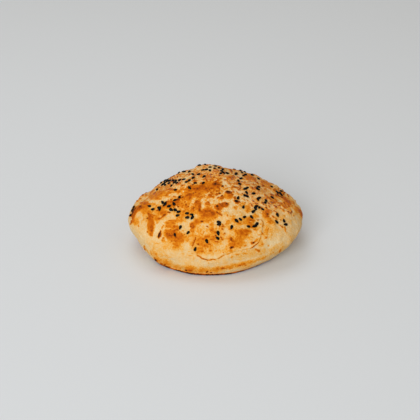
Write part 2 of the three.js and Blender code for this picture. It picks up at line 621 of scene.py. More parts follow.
class CrustPatch(NamedTuple):
    """The crust round one place: point, normal, steps on the sphere, and what they move the crust by."""

    point: np.ndarray
    normal: np.ndarray
    step_a: np.ndarray
    step_b: np.ndarray
    slope_a: np.ndarray
    slope_b: np.ndarray


@dataclass(frozen=True)
class PictureView:
    """The view of the picture, in millimetres, with places on it in pixels from its top left corner."""

    pixels: int = 420
    mm_per_pixel: float = 0.9
    elevation: float = 29.0
    distance: float = 1100.0
    target: tuple[float, float, float] = (0.65, -0.65, 30.0)
    target_pixel: tuple[float, float] = (216.0, 212.9)

    def axes(self) -> tuple[np.ndarray, np.ndarray, np.ndarray]:
        """Works out the axes of the view.

        Returns:
            The directions to its right, up and forward.
        """
        tilt = math.radians(self.elevation)
        right = np.array([1.0, 0.0, 0.0])
        forward = np.array([0.0, math.cos(tilt), -math.sin(tilt)])
        return right, np.cross(right, forward), forward

    def stand(self) -> np.ndarray:
        """Works out where the view is taken from.

        Returns:
            The place in millimetres.
        """
        right, up, forward = self.axes()
        aside = (self.target_pixel[0] - self.pixels / 2.0) * self.mm_per_pixel
        below = (self.target_pixel[1] - self.pixels / 2.0) * self.mm_per_pixel
        return np.array(self.target) - right * aside + up * below - forward * self.distance

    def project(self, points: np.ndarray) -> np.ndarray:
        """Finds where points fall on the picture.

        Args:
            points: places in millimetres, one a row.

        Returns:
            Their places in pixels, one a row.
        """
        right, up, forward = self.axes()
        away = points - self.stand()
        scale = self.distance / self.mm_per_pixel / (away @ forward)
        middle = self.pixels / 2.0
        return np.stack([middle + scale * (away @ right), middle - scale * (away @ up)], axis=1)

    def facing(self, points: np.ndarray, normals: np.ndarray) -> np.ndarray:
        """Measures how squarely the crust faces the view.

        Args:
            points: places in millimetres, one a row.
            normals: the crust's normal at each.

        Returns:
            1 where it faces the view head on, and below 0 where it is turned away.
        """
        ray = self.stand() - points
        ray /= np.linalg.norm(ray, axis=1, keepdims=True)
        return np.einsum("ij,ij->i", ray, normals)


@dataclass(frozen=True)
class BakedCrust:
    """Wheat crust baked on a hot stone: matt floury dough that toasts from cream through gold to brown.

    Toasted starch shines a little, and pale dough scatters light like paper, so roughness falls with toast.
    """

    name: str = "baked_wheat_crust"
    toast_colours: tuple[tuple[float, str], ...] = (
        (0.00, "#E4CA9A"), (0.16, "#E2BD82"), (0.32, "#E5AC54"), (0.46, "#E29121"),
        (0.58, "#D2740C"), (0.70, "#B75705"), (0.84, "#803C0B"), (1.00, "#381B0C"),
    )
    flour_colour: str = "#F0E2C6"
    mottle_mm: float = 2.6
    mottle_layers: float = 3.0
    mottle_amount: float = 0.18
    grain_mm: float = 1.2
    grain_layers: float = 2.0
    grain_amount: float = 0.46
    layer_share: float = 0.6
    pore_mm: float = 1.5
    floury_grain: tuple[float, float] = (0.55, 0.62)
    shiny_toast: tuple[float, float] = (0.2, 0.8)
    pale_roughness: float = 0.82
    toasted_roughness: float = 0.56
    relief_mm: float = 0.42
    relief_strength: float = 0.7
    refraction: float = 1.45
    shine: float = 0.05

    def material(self) -> bpy.types.Material:
        """Makes the crust's material.

        Returns:
            A material that reads the toast, flour and speckle that the crust's mesh carries.
        """
        material, tree, shader = start_material(self.name)
        place = add_node(tree, "ShaderNodeTexCoord").outputs["Object"]
        toast, flour, speckle = (
            add_node(tree, "ShaderNodeAttribute", {"attribute_name": layer.value}).outputs["Fac"]
            for layer in Layer
        )
        mottle = add_noise(tree, place, self.mottle_mm, self.mottle_layers, self.layer_share)
        grain = add_noise(tree, place, self.grain_mm, self.grain_layers, self.layer_share)
        mottled = add_math(tree, "MULTIPLY_ADD", mottle, 2.0 * self.mottle_amount, -self.mottle_amount)
        grained = add_math(tree, "MULTIPLY_ADD", grain, 2.0 * self.grain_amount, -self.grain_amount)
        uneven = add_math(tree, "ADD", grained, mottled)
        browned = add_math(tree, "MULTIPLY_ADD", uneven, speckle, toast)
        colour = self.colour(tree, browned, self.dusting(tree, flour, grain))
        roughness = add_node(tree, "ShaderNodeMapRange", {}, {
            "Value": browned, "From Min": self.shiny_toast[0], "From Max": self.shiny_toast[1],
            "To Min": self.pale_roughness, "To Max": self.toasted_roughness,
        }).outputs["Result"]
        tree.links.new(colour, shader.inputs["Base Color"])
        tree.links.new(roughness, shader.inputs["Roughness"])
        tree.links.new(self.relief(tree, place, grain), shader.inputs["Normal"])
        shader.inputs["IOR"].default_value = self.refraction
        shader.inputs["Specular IOR Level"].default_value = self.shine
        return material

    def dusting(self, tree: bpy.types.NodeTree, flour: bpy.types.NodeSocket,
                grain: bpy.types.NodeSocket) -> bpy.types.NodeSocket:
        """Keeps the flour to the tops of the grain.

        Args:
            tree: the material's node tree.
            flour: how much flour the mesh carries.
            grain: the fine grain of the crust.

        Returns:
            How much of the crust is white with flour.
        """
        tops = add_node(tree, "ShaderNodeMapRange", {"interpolation_type": "SMOOTHSTEP"}, {
            "Value": grain, "From Min": self.floury_grain[0], "From Max": self.floury_grain[1],
        }).outputs["Result"]
        settings = {"operation": "MULTIPLY", "use_clamp": True}
        return add_node(tree, "ShaderNodeMath", settings, {0: flour, 1: tops}).outputs[0]

    def colour(self, tree: bpy.types.NodeTree, browned: bpy.types.NodeSocket,
               dusting: bpy.types.NodeSocket) -> bpy.types.NodeSocket:
        """Colours the crust by its toast, with flour over it.

        Args:
            tree: the material's node tree.
            browned: how toasted the crust is.
            dusting: how much of it is white with flour.

        Returns:
            The crust's colour.
        """
        ramp = add_node(tree, "ShaderNodeValToRGB", {}, {"Fac": browned})
        stops = ramp.color_ramp.elements
        for index, (toast, colour) in enumerate(self.toast_colours):
            stop = stops[index] if index < len(stops) else stops.new(toast)
            stop.position = toast
            stop.color = to_linear(colour)
        return add_node(tree, "ShaderNodeMix", {"data_type": "RGBA"}, {
            MIX_SHARE: dusting, MIX_UNDER: ramp.outputs["Color"], MIX_OVER: to_linear(self.flour_colour),
        }).outputs[MIX_RESULT]

    def relief(self, tree: bpy.types.NodeTree, place: bpy.types.NodeSocket,
               grain: bpy.types.NodeSocket) -> bpy.types.NodeSocket:
        """Roughens the crust with pores and grain.

        Args:
            tree: the material's node tree.
            place: the coordinates that the pores are tied to.
            grain: the fine grain of the crust.

        Returns:
            The roughened normal.
        """
        pores = add_node(tree, "ShaderNodeTexVoronoi", {"feature": "F1"}, {
            "Vector": place, "Scale": 1.0 / (self.pore_mm * MM),
        }).outputs["Distance"]
        return add_node(tree, "ShaderNodeBump", {}, {
            "Height": add_math(tree, "ADD", pores, grain), "Distance": self.relief_mm * MM,
            "Strength": self.relief_strength,
        }).outputs["Normal"]


@dataclass(frozen=True)
class BlackSesame:
    """Black sesame seed: a thin dry hull, nearly black, with a soft satin shine and faint grey rubs."""

    name: str = "black_sesame_hull"
    hull_colour: str = "#050404"
    rub_colour: str = "#120F0E"
    rub_span: tuple[float, float] = (0.45, 0.75)
    rub_mm: float = 0.9
    rub_layers: float = 2.0
    layer_share: float = 0.5
    relief_mm: float = 0.05
    relief_strength: float = 0.5
    roughness: float = 0.42
    shine: float = 0.08

    def material(self) -> bpy.types.Material:
        """Makes the seeds' material.

        Returns:
            The material.
        """
        material, tree, shader = start_material(self.name)
        place = add_node(tree, "ShaderNodeTexCoord").outputs["Object"]
        rubs = add_noise(tree, place, self.rub_mm, self.rub_layers, self.layer_share)
        ramp = add_node(tree, "ShaderNodeValToRGB", {}, {"Fac": rubs})
        colours = (self.hull_colour, self.rub_colour)
        for stop, position, colour in zip(ramp.color_ramp.elements, self.rub_span, colours):
            stop.position = position
            stop.color = to_linear(colour)
        bump = add_node(tree, "ShaderNodeBump", {}, {
            "Height": rubs, "Distance": self.relief_mm * MM, "Strength": self.relief_strength,
        }).outputs["Normal"]
        tree.links.new(ramp.outputs["Color"], shader.inputs["Base Color"])
        tree.links.new(bump, shader.inputs["Normal"])
        shader.inputs["Roughness"].default_value = self.roughness
        shader.inputs["Specular IOR Level"].default_value = self.shine
        return material


@dataclass(frozen=True)
class StudioFloor:
    """Pale painted studio floor, matt, with no pattern that would draw the eye."""

    name: str = "pale_matt_paint"
    colour: str = "#DCE3EA"
    roughness: float = 0.7
    shine: float = 0.2

    def material(self) -> bpy.types.Material:
        """Makes the floor's material.

        Returns:
            The material.
        """
        material, _, shader = start_material(self.name)
        shader.inputs["Base Color"].default_value = to_linear(self.colour)
        shader.inputs["Roughness"].default_value = self.roughness
        shader.inputs["Specular IOR Level"].default_value = self.shine
        return material


@dataclass(frozen=True)
class ToastMap:
    """Where the oven toasted the crust: read off the picture, and rules for what is out of view."""

    # broad stretches that are warmer than pale dough
    glow: tuple[Mark, ...] = table(
        Mark,
        (200, 184, 60, 20, 0.34), (224, 238, 38, 18, 0.39, 8), (150, 212, 22, 15, 0.38),
        (270, 202, 29, 20, 0.29, -40), (172, 245, 17, 8, 0.33, -10), (200, 213, 34, 13, 0.46),
        (200, 240, 20, 19, 0.4), (200, 194, 30, 9, 0.49, 8), (268, 228, 12, 14, 0.33),
        (250, 254, 26, 6, 0.26, 12), (160, 254, 14, 7, 0.26, -35), (277, 249, 13, 6, 0.27, 28),
    )
    # golden patches
    golden: tuple[Mark, ...] = table(
        Mark,
        # the slope and flank on the left
        (158, 195, 13, 5, 0.55, 20), (146, 206, 9, 7, 0.55, 30), (139, 208, 7, 4.6, 0.59, 25),
        (146, 212, 7, 3.4, 0.51), (175, 192, 14, 4.6, 0.51, 18), (164, 188.6, 9, 3.4, 0.46, 25),
        (161, 212, 9, 4.6, 0.52, 10), (164, 213.6, 5, 3.6, 0.56, 15), (136, 221.5, 5, 5, 0.47),
        (151, 224, 4.4, 13.5, 0.6), (156.4, 218.4, 3.8, 4.4, 0.54), (170, 205, 9, 6, 0.52, 20),
        (184, 202, 12, 8, 0.52, 10), (180, 220, 4.6, 3.6, 0.47),
        # the band under the crown and the middle
        (196, 191, 18, 8, 0.58, 10), (211, 186, 13, 6.5, 0.6, 5), (189, 197, 9, 5, 0.57, 15),
        (217, 194.8, 4.6, 2, 0.6, 10), (211, 177.5, 11, 3.4, 0.43), (232, 182, 12, 6, 0.4, -10),
        (211.5, 196.6, 5, 2.7, 0.58, -12), (220, 196.8, 4, 2.6, 0.58, 20), (231, 177.4, 7, 3.2, 0.54, -8),
        (213, 171, 8, 2.4, 0.46), (198, 171.6, 6, 2.4, 0.46, 20), (228, 195.8, 6, 4.6, 0.57),
        (207, 213, 12, 7, 0.6), (198, 205, 5.4, 8, 0.57), (235, 209, 3, 5, 0.4), (248, 208, 3.4, 6, 0.5),
        (242, 204.4, 4, 3.4, 0.48), (256, 216, 4.4, 4, 0.49), (203, 219.5, 12, 5, 0.5),
        # the slope and flank on the right
        (250, 179, 9, 4, 0.51, -35), (273, 200, 7, 5, 0.52, -38), (266, 214, 5, 7, 0.52),
        (287, 203, 7, 6, 0.51, -40), (297, 210, 5, 4, 0.5, -50), (270, 221, 4.6, 5, 0.46),
        (266, 185.4, 9, 3, 0.51, -28), (281, 194.4, 6, 2.4, 0.49, -40), (262, 190, 24, 10, 0.36, -37),
        (288, 204, 12, 8, 0.36, -42), (301, 214, 2.4, 5, 0.52, 20), (266.6, 230.5, 2.8, 7, 0.44),
        (260, 242, 4, 7, 0.33, 10), (252, 190, 12, 8, 0.4, -30),
        # the big patch beside the lens blister
        (171, 222.6, 8, 3.6, 0.52), (170, 234, 9, 6, 0.53, -10), (180, 238, 7, 6.5, 0.53, -20),
        (176, 228, 4.4, 4, 0.52), (163, 240.8, 2.6, 2.2, 0.44), (174, 236, 12, 7.4, 0.53, -25),
        # the front pillow
        (193, 226, 4.4, 5, 0.57), (192.6, 230, 3.4, 3.4, 0.55), (203, 242, 10.5, 6.6, 0.52, -8),
        (243, 221.6, 10, 4.4, 0.45, 22), (196, 223, 5, 3, 0.55, 30), (211.6, 228, 3.2, 7, 0.48),
        (213, 238, 6, 4, 0.52), (243, 232, 11, 4.6, 0.55, 2), (237.4, 242.6, 9.4, 6.4, 0.51, 12),
        (241, 236.6, 8, 4.4, 0.5), (250, 221, 6, 4.6, 0.52), (251, 226, 5, 3.4, 0.57),
        (231, 250, 2.6, 3, 0.46), (234, 220.5, 5, 3.4, 0.46, -30), (228.6, 222.4, 4, 3, 0.47),
        (187, 239, 3, 4.4, 0.46), (256, 228.6, 4, 3.6, 0.42), (232, 216, 5, 2, 0.42),
        (199.6, 249.6, 5.6, 4.4, 0.46, -20), (208, 252, 9, 3.4, 0.36, -5), (231.6, 244.4, 4.6, 3.6, 0.55),
        (255.8, 240.8, 3.2, 1.5, 0.57, 40), (177.4, 243.4, 6.4, 4.4, 0.5, 30), (170, 226.4, 7, 4.4, 0.47),
        (176, 247, 6, 3.2, 0.42, 20),
        # soft spots on the chin
        (266, 237.6, 1.5, 1.6, 0.56), (262.3, 243.8, 1.3, 2.2, 0.55), (268.7, 246, 1.2, 1.2, 0.46),
        (256.6, 249.8, 2.6, 1.2, 0.54, -20), (258.6, 251, 1.4, 1.8, 0.56), (245.6, 253.4, 2.8, 1.2, 0.46),
        (237.5, 254.6, 2.2, 1.2, 0.42), (231.6, 257, 2.4, 1.2, 0.42), (155.6, 246.4, 3.4, 5, 0.31, -15),
        (154, 253.4, 5.4, 3.6, 0.37, -45), (157.4, 243.4, 2.4, 1, 0.42),
    )
    # the golden band round the foot
    foot_band: tuple[Mark, ...] = table(
        Mark,
        (147, 251, 6, 2.6, 0.32, -48), (158.4, 259, 8, 4.4, 0.45, -38), (167, 262.8, 8, 5.2, 0.48, -28),
        (178, 267.6, 9, 4, 0.41, -18), (190, 269.0, 11, 5.2, 0.52, -5), (204, 270.2, 12, 4.4, 0.49),
        (217, 269.4, 12, 4.2, 0.49, 8), (229, 267, 12, 3.8, 0.49, 12), (240, 264.6, 11, 3.4, 0.5, 12),
        (250, 262.1, 11, 3.2, 0.48, 15), (261, 258.4, 10, 2.8, 0.43, 20), (246, 266.6, 11, 2.8, 0.36, 15),
    )
    # brown and nearly black marks over the gold
    marks: tuple[Mark, ...] = table(
        Mark,
        # the slope up to the crown on the left
        (142.5, 194.9, 1, 0.8, 0.8), (145.8, 194.7, 1.2, 0.7, 0.74, 25), (139.6, 198.2, 0.9, 0.8, 0.62),
        (136.8, 200.2, 0.8, 1, 0.64), (152, 191.6, 4, 1.6, 0.56, 30), (155, 193.2, 1.6, 0.9, 0.66, 20),
        (154.2, 194.6, 0.9, 0.7, 0.62), (157, 196.5, 4.4, 1.7, 0.56, 8), (158.5, 199, 3, 1, 0.56, 5),
        (169, 189.5, 2.6, 1.1, 0.66, 15), (166.4, 190.5, 1.6, 0.9, 0.6, 20), (164.5, 192.6, 2.4, 1, 0.5),
        (159, 187.6, 1.2, 0.9, 0.58), (162.4, 187.4, 2, 0.8, 0.54, 10), (182, 174.9, 2.8, 0.7, 0.54, 10),
        (180.6, 176.3, 1.5, 0.7, 0.58), (184.6, 177, 1.4, 0.6, 0.5, 30), (189.2, 173.1, 1.3, 0.8, 0.54),
        (193.6, 171.5, 1.4, 0.8, 0.54), (195, 169.5, 2, 0.7, 0.56, 20), (204, 166.6, 1.8, 1.1, 0.54),
        (207, 165.8, 1.2, 0.8, 0.6), (203.5, 168.4, 0.8, 0.6, 0.56), (201.6, 175.3, 1.2, 0.6, 0.66, -30),
        (207, 175.4, 1.2, 0.7, 0.66), (210.8, 175, 2.4, 0.8, 0.8, 8), (213.5, 172.3, 1.1, 0.6, 0.56),
        (179, 184.4, 1, 0.8, 0.52), (175, 196.8, 2, 0.9, 0.6), (182.8, 197.3, 1.1, 0.8, 0.8),
        # the brown band under the crown
        (215, 184, 3.4, 2.6, 0.7, 10), (214.6, 184.4, 1.5, 0.9, 0.82, 10), (211.6, 188.6, 1.5, 0.9, 0.76),
        (217.8, 187.6, 0.9, 0.7, 0.8), (219.3, 188.7, 0.9, 0.6, 0.78), (206.5, 188.7, 2, 0.9, 0.72),
        (209.4, 190.3, 1.2, 0.6, 0.74), (207, 191.6, 1, 0.6, 0.7), (201, 182.4, 0.9, 0.6, 0.66),
        (190.6, 191, 3, 0.7, 0.7, 10), (197, 189, 4, 1.6, 0.65, 10), (203, 186.5, 3.4, 1.4, 0.65, 10),
        (193.7, 193.4, 0.9, 0.8, 0.92, 40), (195.3, 192.8, 0.9, 0.5, 0.84, -30),
        (188, 195, 3, 1.2, 0.64, 25), (222.3, 186.6, 1.4, 0.7, 1.02, 25), (216.6, 191.2, 0.9, 0.8, 0.74),
        (219.5, 193.3, 1.3, 0.7, 0.96), (216.6, 194.4, 2.2, 0.8, 0.68, 8), (218, 197.8, 1.7, 0.6, 0.74, 20),
        (221.6, 196, 1.5, 0.9, 0.86, 25), (221, 198.3, 2.4, 0.8, 0.58), (209.2, 195.3, 1.4, 0.7, 0.62),
        (228.5, 192.5, 3.7, 1.7, 0.86, -8), (228.4, 192.1, 1.8, 0.9, 1), (233, 192, 1.4, 0.7, 0.62),
        (229, 196, 2, 1.4, 0.6), (235, 187.6, 4.4, 0.8, 0.66), (234.6, 187.8, 1.3, 0.5, 0.76),
        (231.6, 188.9, 1.2, 0.6, 0.66, -20), (231, 177.6, 3.4, 1.2, 0.64), (232.3, 178.3, 1, 0.7, 0.86),
        (233.5, 175.7, 1.1, 0.8, 0.68), (226.6, 179.8, 2.4, 1, 0.6), (227.4, 178.4, 1, 0.6, 0.66),
        (231.6, 173, 1.3, 0.8, 0.6), (226.3, 168.6, 1.3, 0.7, 0.58, -25), (241.5, 182.3, 1.3, 0.7, 0.7),
        (233.8, 183.8, 1.5, 0.8, 0.52), (242.3, 193.7, 0.7, 0.7, 0.76), (216.5, 178, 1, 1.4, 0.5),
        (222, 176, 2, 0.7, 0.54),
        # across the left
        (141.2, 203, 1.8, 2, 0.62, 30), (144.8, 203.8, 1.7, 1.6, 0.66), (148, 205, 2.4, 2, 0.58),
        (140.5, 206.5, 1.4, 0.8, 0.88, 15), (139.5, 208.4, 3.6, 1.5, 0.7, 20), (143, 207.6, 2.4, 1.2, 0.64),
        (133.4, 212, 6, 1.1, 0.86, 59), (135.8, 212.8, 4.4, 1.6, 0.66, 60), (133.4, 217, 3, 2, 0.66, 60),
        (129.8, 215.8, 0.9, 0.8, 0.9), (131.4, 222, 1.4, 2, 0.66), (130, 224.2, 0.9, 0.8, 0.6),
        (138.7, 226, 1.1, 1.1, 0.54), (133.6, 221, 1.6, 2, 0.56), (154.7, 204.5, 1, 0.8, 0.58),
        (156.5, 205.8, 0.7, 0.5, 0.66), (157.3, 210.8, 0.9, 0.6, 0.74), (163.4, 207.4, 1.6, 1, 0.58),
        (172.6, 202, 1.4, 0.9, 0.7), (178, 199.8, 2.3, 0.8, 0.8, -20), (176, 202, 3.6, 1.6, 0.6, 10),
        (173.4, 205.4, 3, 2, 0.6), (178.4, 206.8, 1.3, 0.7, 0.88, -40), (186.3, 205.2, 1, 0.9, 0.76),
        (193.7, 208.4, 0.9, 0.7, 0.84), (196, 202.3, 1, 1.5, 0.68), (188.4, 206.8, 1, 0.7, 0.74),
        (199.6, 207.6, 1.6, 4.2, 0.68), (200.2, 211, 1.8, 1.4, 0.68), (207.6, 203.6, 2.8, 2.2, 0.58),
        (208.4, 202.6, 1.2, 0.8, 0.68), (207, 213, 6.8, 3.6, 0.59), (213, 213.4, 2.6, 2.2, 0.6),
        (209.2, 211.3, 1.4, 0.7, 0.74), (205.5, 211.4, 1.2, 0.8, 0.7), (201.4, 216.4, 0.8, 0.6, 0.66),
        # the stripe down the left flank
        (152, 228.8, 1.5, 4.6, 0.7), (151.6, 234.4, 2.2, 2.2, 0.6), (147.6, 232, 1.1, 1.1, 0.62),
        (151.6, 215.6, 3.8, 1.5, 0.63), (152.9, 217.3, 1, 0.8, 0.8, 20), (147.8, 218.8, 1.1, 0.8, 0.82),
        (150, 219.6, 1.6, 0.9, 0.62), (164.8, 215.2, 1.8, 1, 0.76, 20), (157.6, 223, 1.5, 0.8, 0.58, 20),
        # the lens blister and the big patch beside it
        (159.7, 234.4, 4.6, 1.5, 0.86, 74), (159.4, 234.4, 3, 0.9, 1.06, 74),
        (161.2, 235, 1.8, 0.9, 0.72, 75), (170.2, 220.8, 1.5, 0.9, 0.6),
        (172.6, 222.8, 1.8, 0.9, 0.62, -10), (168, 223.3, 1.4, 0.8, 0.58),
        (166.4, 226.5, 0.9, 1.2, 0.62, -20), (170, 227, 1.4, 0.8, 0.54), (174.6, 226.8, 1.1, 1.3, 0.68),
        (178.2, 230.3, 0.8, 0.6, 0.8), (176.6, 229.8, 1.2, 0.8, 0.66, 30), (167.5, 233.4, 1.2, 0.8, 0.66),
        (171.5, 237, 1.1, 1.2, 0.68), (172.2, 233.6, 0.9, 0.8, 0.66), (169.5, 235.4, 3, 2, 0.59),
        (181.5, 234, 0.9, 0.9, 0.66), (175, 240.6, 2.6, 0.8, 0.6, 10), (180, 238, 3, 2, 0.58),
        (182.4, 241, 2.4, 1.8, 0.58), (174, 244, 1.6, 1, 0.54, 30), (173.5, 247.2, 1.1, 0.9, 0.54, 30),
        (177.6, 245.6, 1.2, 0.7, 0.58, 40), (171, 242.4, 0.9, 1.2, 0.52), (164, 238, 1.4, 1.1, 0.57),
        # the front pillow, left part
        (202.2, 221.7, 1.1, 1, 0.92), (202.2, 221.6, 1.9, 1.7, 0.6), (192.6, 226.6, 2.8, 2.6, 0.63, -20),
        (190.8, 226.8, 0.9, 0.7, 0.82), (193.4, 227, 0.9, 1.4, 0.76), (192, 224.2, 1.8, 0.8, 0.64, 20),
        (196.2, 221.8, 1.8, 1.8, 0.57), (211.6, 224.4, 1.7, 1.8, 0.58), (211.6, 230.3, 1.6, 1.1, 0.6),
        (215.3, 232.4, 1.1, 1.4, 0.66), (215.8, 235.5, 1.2, 0.6, 0.78, -20), (213.6, 236.6, 1.4, 1, 0.62),
        (198.2, 244, 1, 0.7, 0.86, -20), (203.5, 239.4, 1.4, 1.4, 0.67),
        (210.6, 239.8, 1.9, 0.8, 0.66, -10), (204.8, 245.3, 1, 0.7, 0.62),
        (202.3, 251, 1.4, 0.9, 0.58, -20), (210.3, 250.8, 0.9, 1.4, 0.64), (209.5, 244.5, 0.9, 0.7, 0.64),
        (197.3, 252.5, 1, 0.8, 0.54), (217, 241.8, 2.6, 1, 0.64, -12), (207, 237, 4, 1.2, 0.58, 5),
        (198, 240, 1.2, 1.4, 0.58), (192, 253.5, 1.3, 0.6, 0.46, -15), (190, 255.4, 2.6, 0.6, 0.46),
        (183, 253.5, 1.4, 0.6, 0.4), (188.6, 251.2, 1, 0.6, 0.42),
        # the front pillow, right part
        (219.5, 226.4, 1, 0.7, 0.84), (222.8, 225.3, 0.8, 1.5, 0.74), (222.4, 227, 1.6, 0.5, 0.66, 10),
        (226.3, 224.2, 1.1, 0.9, 0.6), (231, 239, 1.2, 1.9, 0.78), (223.7, 234.8, 1.1, 0.6, 0.5),
        (237.3, 233.3, 1.2, 0.8, 0.64), (231, 247.4, 1.6, 1.1, 1, 20), (232.4, 246.6, 1.8, 1, 0.8, 15),
        (230.6, 250.4, 1.4, 1.7, 0.57), (223.5, 252.2, 0.9, 0.7, 0.62), (245, 231.4, 6.6, 1.5, 0.6, 2),
        (241.6, 232.8, 2.6, 2, 0.6), (246, 235, 2.4, 1.2, 0.59), (255, 230, 2.6, 0.8, 0.58, -8),
        (250.4, 220.4, 1.9, 0.7, 0.68, 5), (249.4, 223, 1.1, 0.9, 0.66), (252.6, 221.4, 0.8, 1, 0.64),
        (257.5, 220.4, 0.7, 0.6, 0.8), (248.4, 218.5, 1.2, 0.6, 0.62), (239.5, 223.4, 1.5, 0.6, 0.64, -10),
        (262.6, 233.4, 0.9, 1.4, 0.58, 15), (259.4, 235, 1.2, 0.7, 0.54), (260.4, 224.4, 0.8, 1.2, 0.58),
        (253.3, 242.6, 0.9, 1, 0.9), (252, 243, 1.9, 1.6, 0.62), (238.4, 243.4, 0.8, 0.7, 0.62),
        (234.5, 244.4, 1.4, 0.8, 0.58, 20), (239.6, 247.6, 1, 0.6, 0.6), (245, 245.6, 2, 1, 0.56, 20),
        # the bean, and the spots between the crown and the pillow
        (219, 207, 5, 3.9, 0.69, 22), (224.6, 205, 4.8, 2.9, 0.67, 5), (217.4, 206.2, 1.3, 1.8, 0.96, -15),
        (226.6, 204.2, 0.9, 0.8, 1), (218.3, 208.6, 1.2, 0.7, 0.78, 30), (223.4, 207.2, 3, 0.9, 0.56, 15),
        (236.8, 201.6, 3.8, 1.4, 0.78, -12), (234.6, 198, 1.1, 1.6, 0.7), (237, 203.2, 2, 0.8, 0.66),
        (227.5, 215.6, 0.8, 1.2, 0.58), (245.2, 202.6, 0.8, 0.7, 0.62), (232, 217.4, 1, 0.7, 0.54),
        # the right slope
        (249.6, 178, 4.6, 1.9, 0.57, -35), (254, 181, 1.5, 0.6, 0.64, -40), (254.3, 179.2, 0.8, 0.6, 0.58),
        (248.5, 185, 1.5, 0.7, 0.64), (255.5, 185, 0.9, 0.9, 0.56), (262.5, 186.4, 1.7, 0.8, 0.76, -10),
        (265.3, 189, 1.2, 0.8, 0.58), (264.8, 195.3, 0.8, 0.7, 0.64), (252, 197, 1.3, 0.8, 0.6),
        (250.5, 194.5, 1.2, 0.8, 0.52), (266, 183, 5, 1.5, 0.57, -25), (274, 190.6, 2, 0.7, 0.7, -30),
        (283.3, 194.8, 0.7, 1, 0.86), (285, 199, 4.2, 1.3, 0.66, -38), (288, 203, 3.6, 2.4, 0.6, -40),
        (288.6, 201.3, 1, 0.7, 0.74), (288.8, 206.5, 1.1, 0.9, 0.72), (283.2, 202.3, 0.8, 0.7, 0.58),
        (279.3, 205.7, 1.1, 0.9, 0.66, -20), (292, 206, 1, 0.8, 0.54), (293.6, 203.6, 0.7, 1.6, 0.64, 35),
        (272, 195.4, 2.6, 1.2, 0.68, -30), (273.6, 199.6, 4.4, 2, 0.62, -42),
        (274.4, 202, 2.6, 1.2, 0.6, -20), (265.8, 208.2, 1.4, 0.7, 0.8, -40), (267, 213, 2.6, 3.6, 0.64),
        (267.7, 214.2, 0.9, 0.8, 0.88), (267, 216.8, 2.4, 1, 0.66), (301.4, 214.2, 1.2, 2.2, 0.64, 20),
        (299.2, 211, 2.8, 1.6, 0.6, -50), (302.4, 218.4, 0.8, 1.6, 0.56), (280, 199.2, 1, 0.8, 0.54),
        (277, 197, 1, 0.7, 0.54),
        # the right flank and the chin
        (257.8, 250.6, 1.4, 0.9, 0.62, -35), (273.4, 252.6, 0.7, 0.7, 0.58), (144.2, 246.8, 1, 1.8, 0.5),
        (144.6, 249.4, 0.8, 0.7, 0.8), (208.5, 262.5, 0.8, 0.5, 0.46), (206.5, 260.3, 0.6, 0.8, 0.42),
        # char on the band round the foot
        (155.9, 259.4, 1.3, 0.8, 1.05, -35), (154.5, 257.7, 0.7, 0.7, 0.66), (157.2, 261.2, 0.8, 0.7, 0.66),
        (161.5, 263.4, 1.8, 0.8, 0.66, -30), (164.7, 264.8, 0.8, 1.4, 0.8),
        (167.3, 266.6, 1.7, 0.9, 1.05, -15), (169.6, 266.8, 0.9, 0.7, 0.74), (186, 270.3, 1.1, 1, 0.96),
        (190, 270, 3, 1, 0.66), (206.8, 271.6, 1.2, 0.7, 1.08, 35), (211.2, 272.3, 1.2, 0.5, 1),
        (222.8, 267.8, 2.2, 1.1, 0.62), (239.6, 265.2, 1.4, 0.7, 0.68, 10), (245.4, 265.4, 1, 0.6, 0.56),
    )
    # swellings and dents of the upper outline, with their height in millimetres
    trims: tuple[Mark, ...] = table(
        Mark,
        (138, 198, 10, 6, -1.8, 42), (128, 216, 5, 13, -0.8), (148.4, 191.4, 5, 4, -1.2, 40),
        (166, 180.6, 8, 4, 1.5, 32), (256, 177, 7, 4, 1.7, -28), (276, 186.6, 4, 3, 1, -32),
        (190.5, 169, 4.5, 3, -1.1, 20), (228, 167.8, 8, 3, -0.8, -12),
    )
    # crumbs that stick out, most of them on the outline
    crumbs: tuple[Crumb, ...] = table(
        Crumb,
        (142.5, 195.2, 1.3), (145.8, 195, 0.9), (136.8, 200.4, 0.8), (139.5, 198.4, 0.7),
        (172.4, 178.8, 0.8), (175.2, 175.4, 0.6), (189.4, 170.4, 0.8), (152, 191.4, 0.5), (129.8, 216, 0.7),
        (197, 166.6, 0.8), (183, 172, 0.6), (226.3, 169, 0.6), (213, 164.4, 0.5), (292, 198, 0.5),
        (279, 187, 0.5),
    )
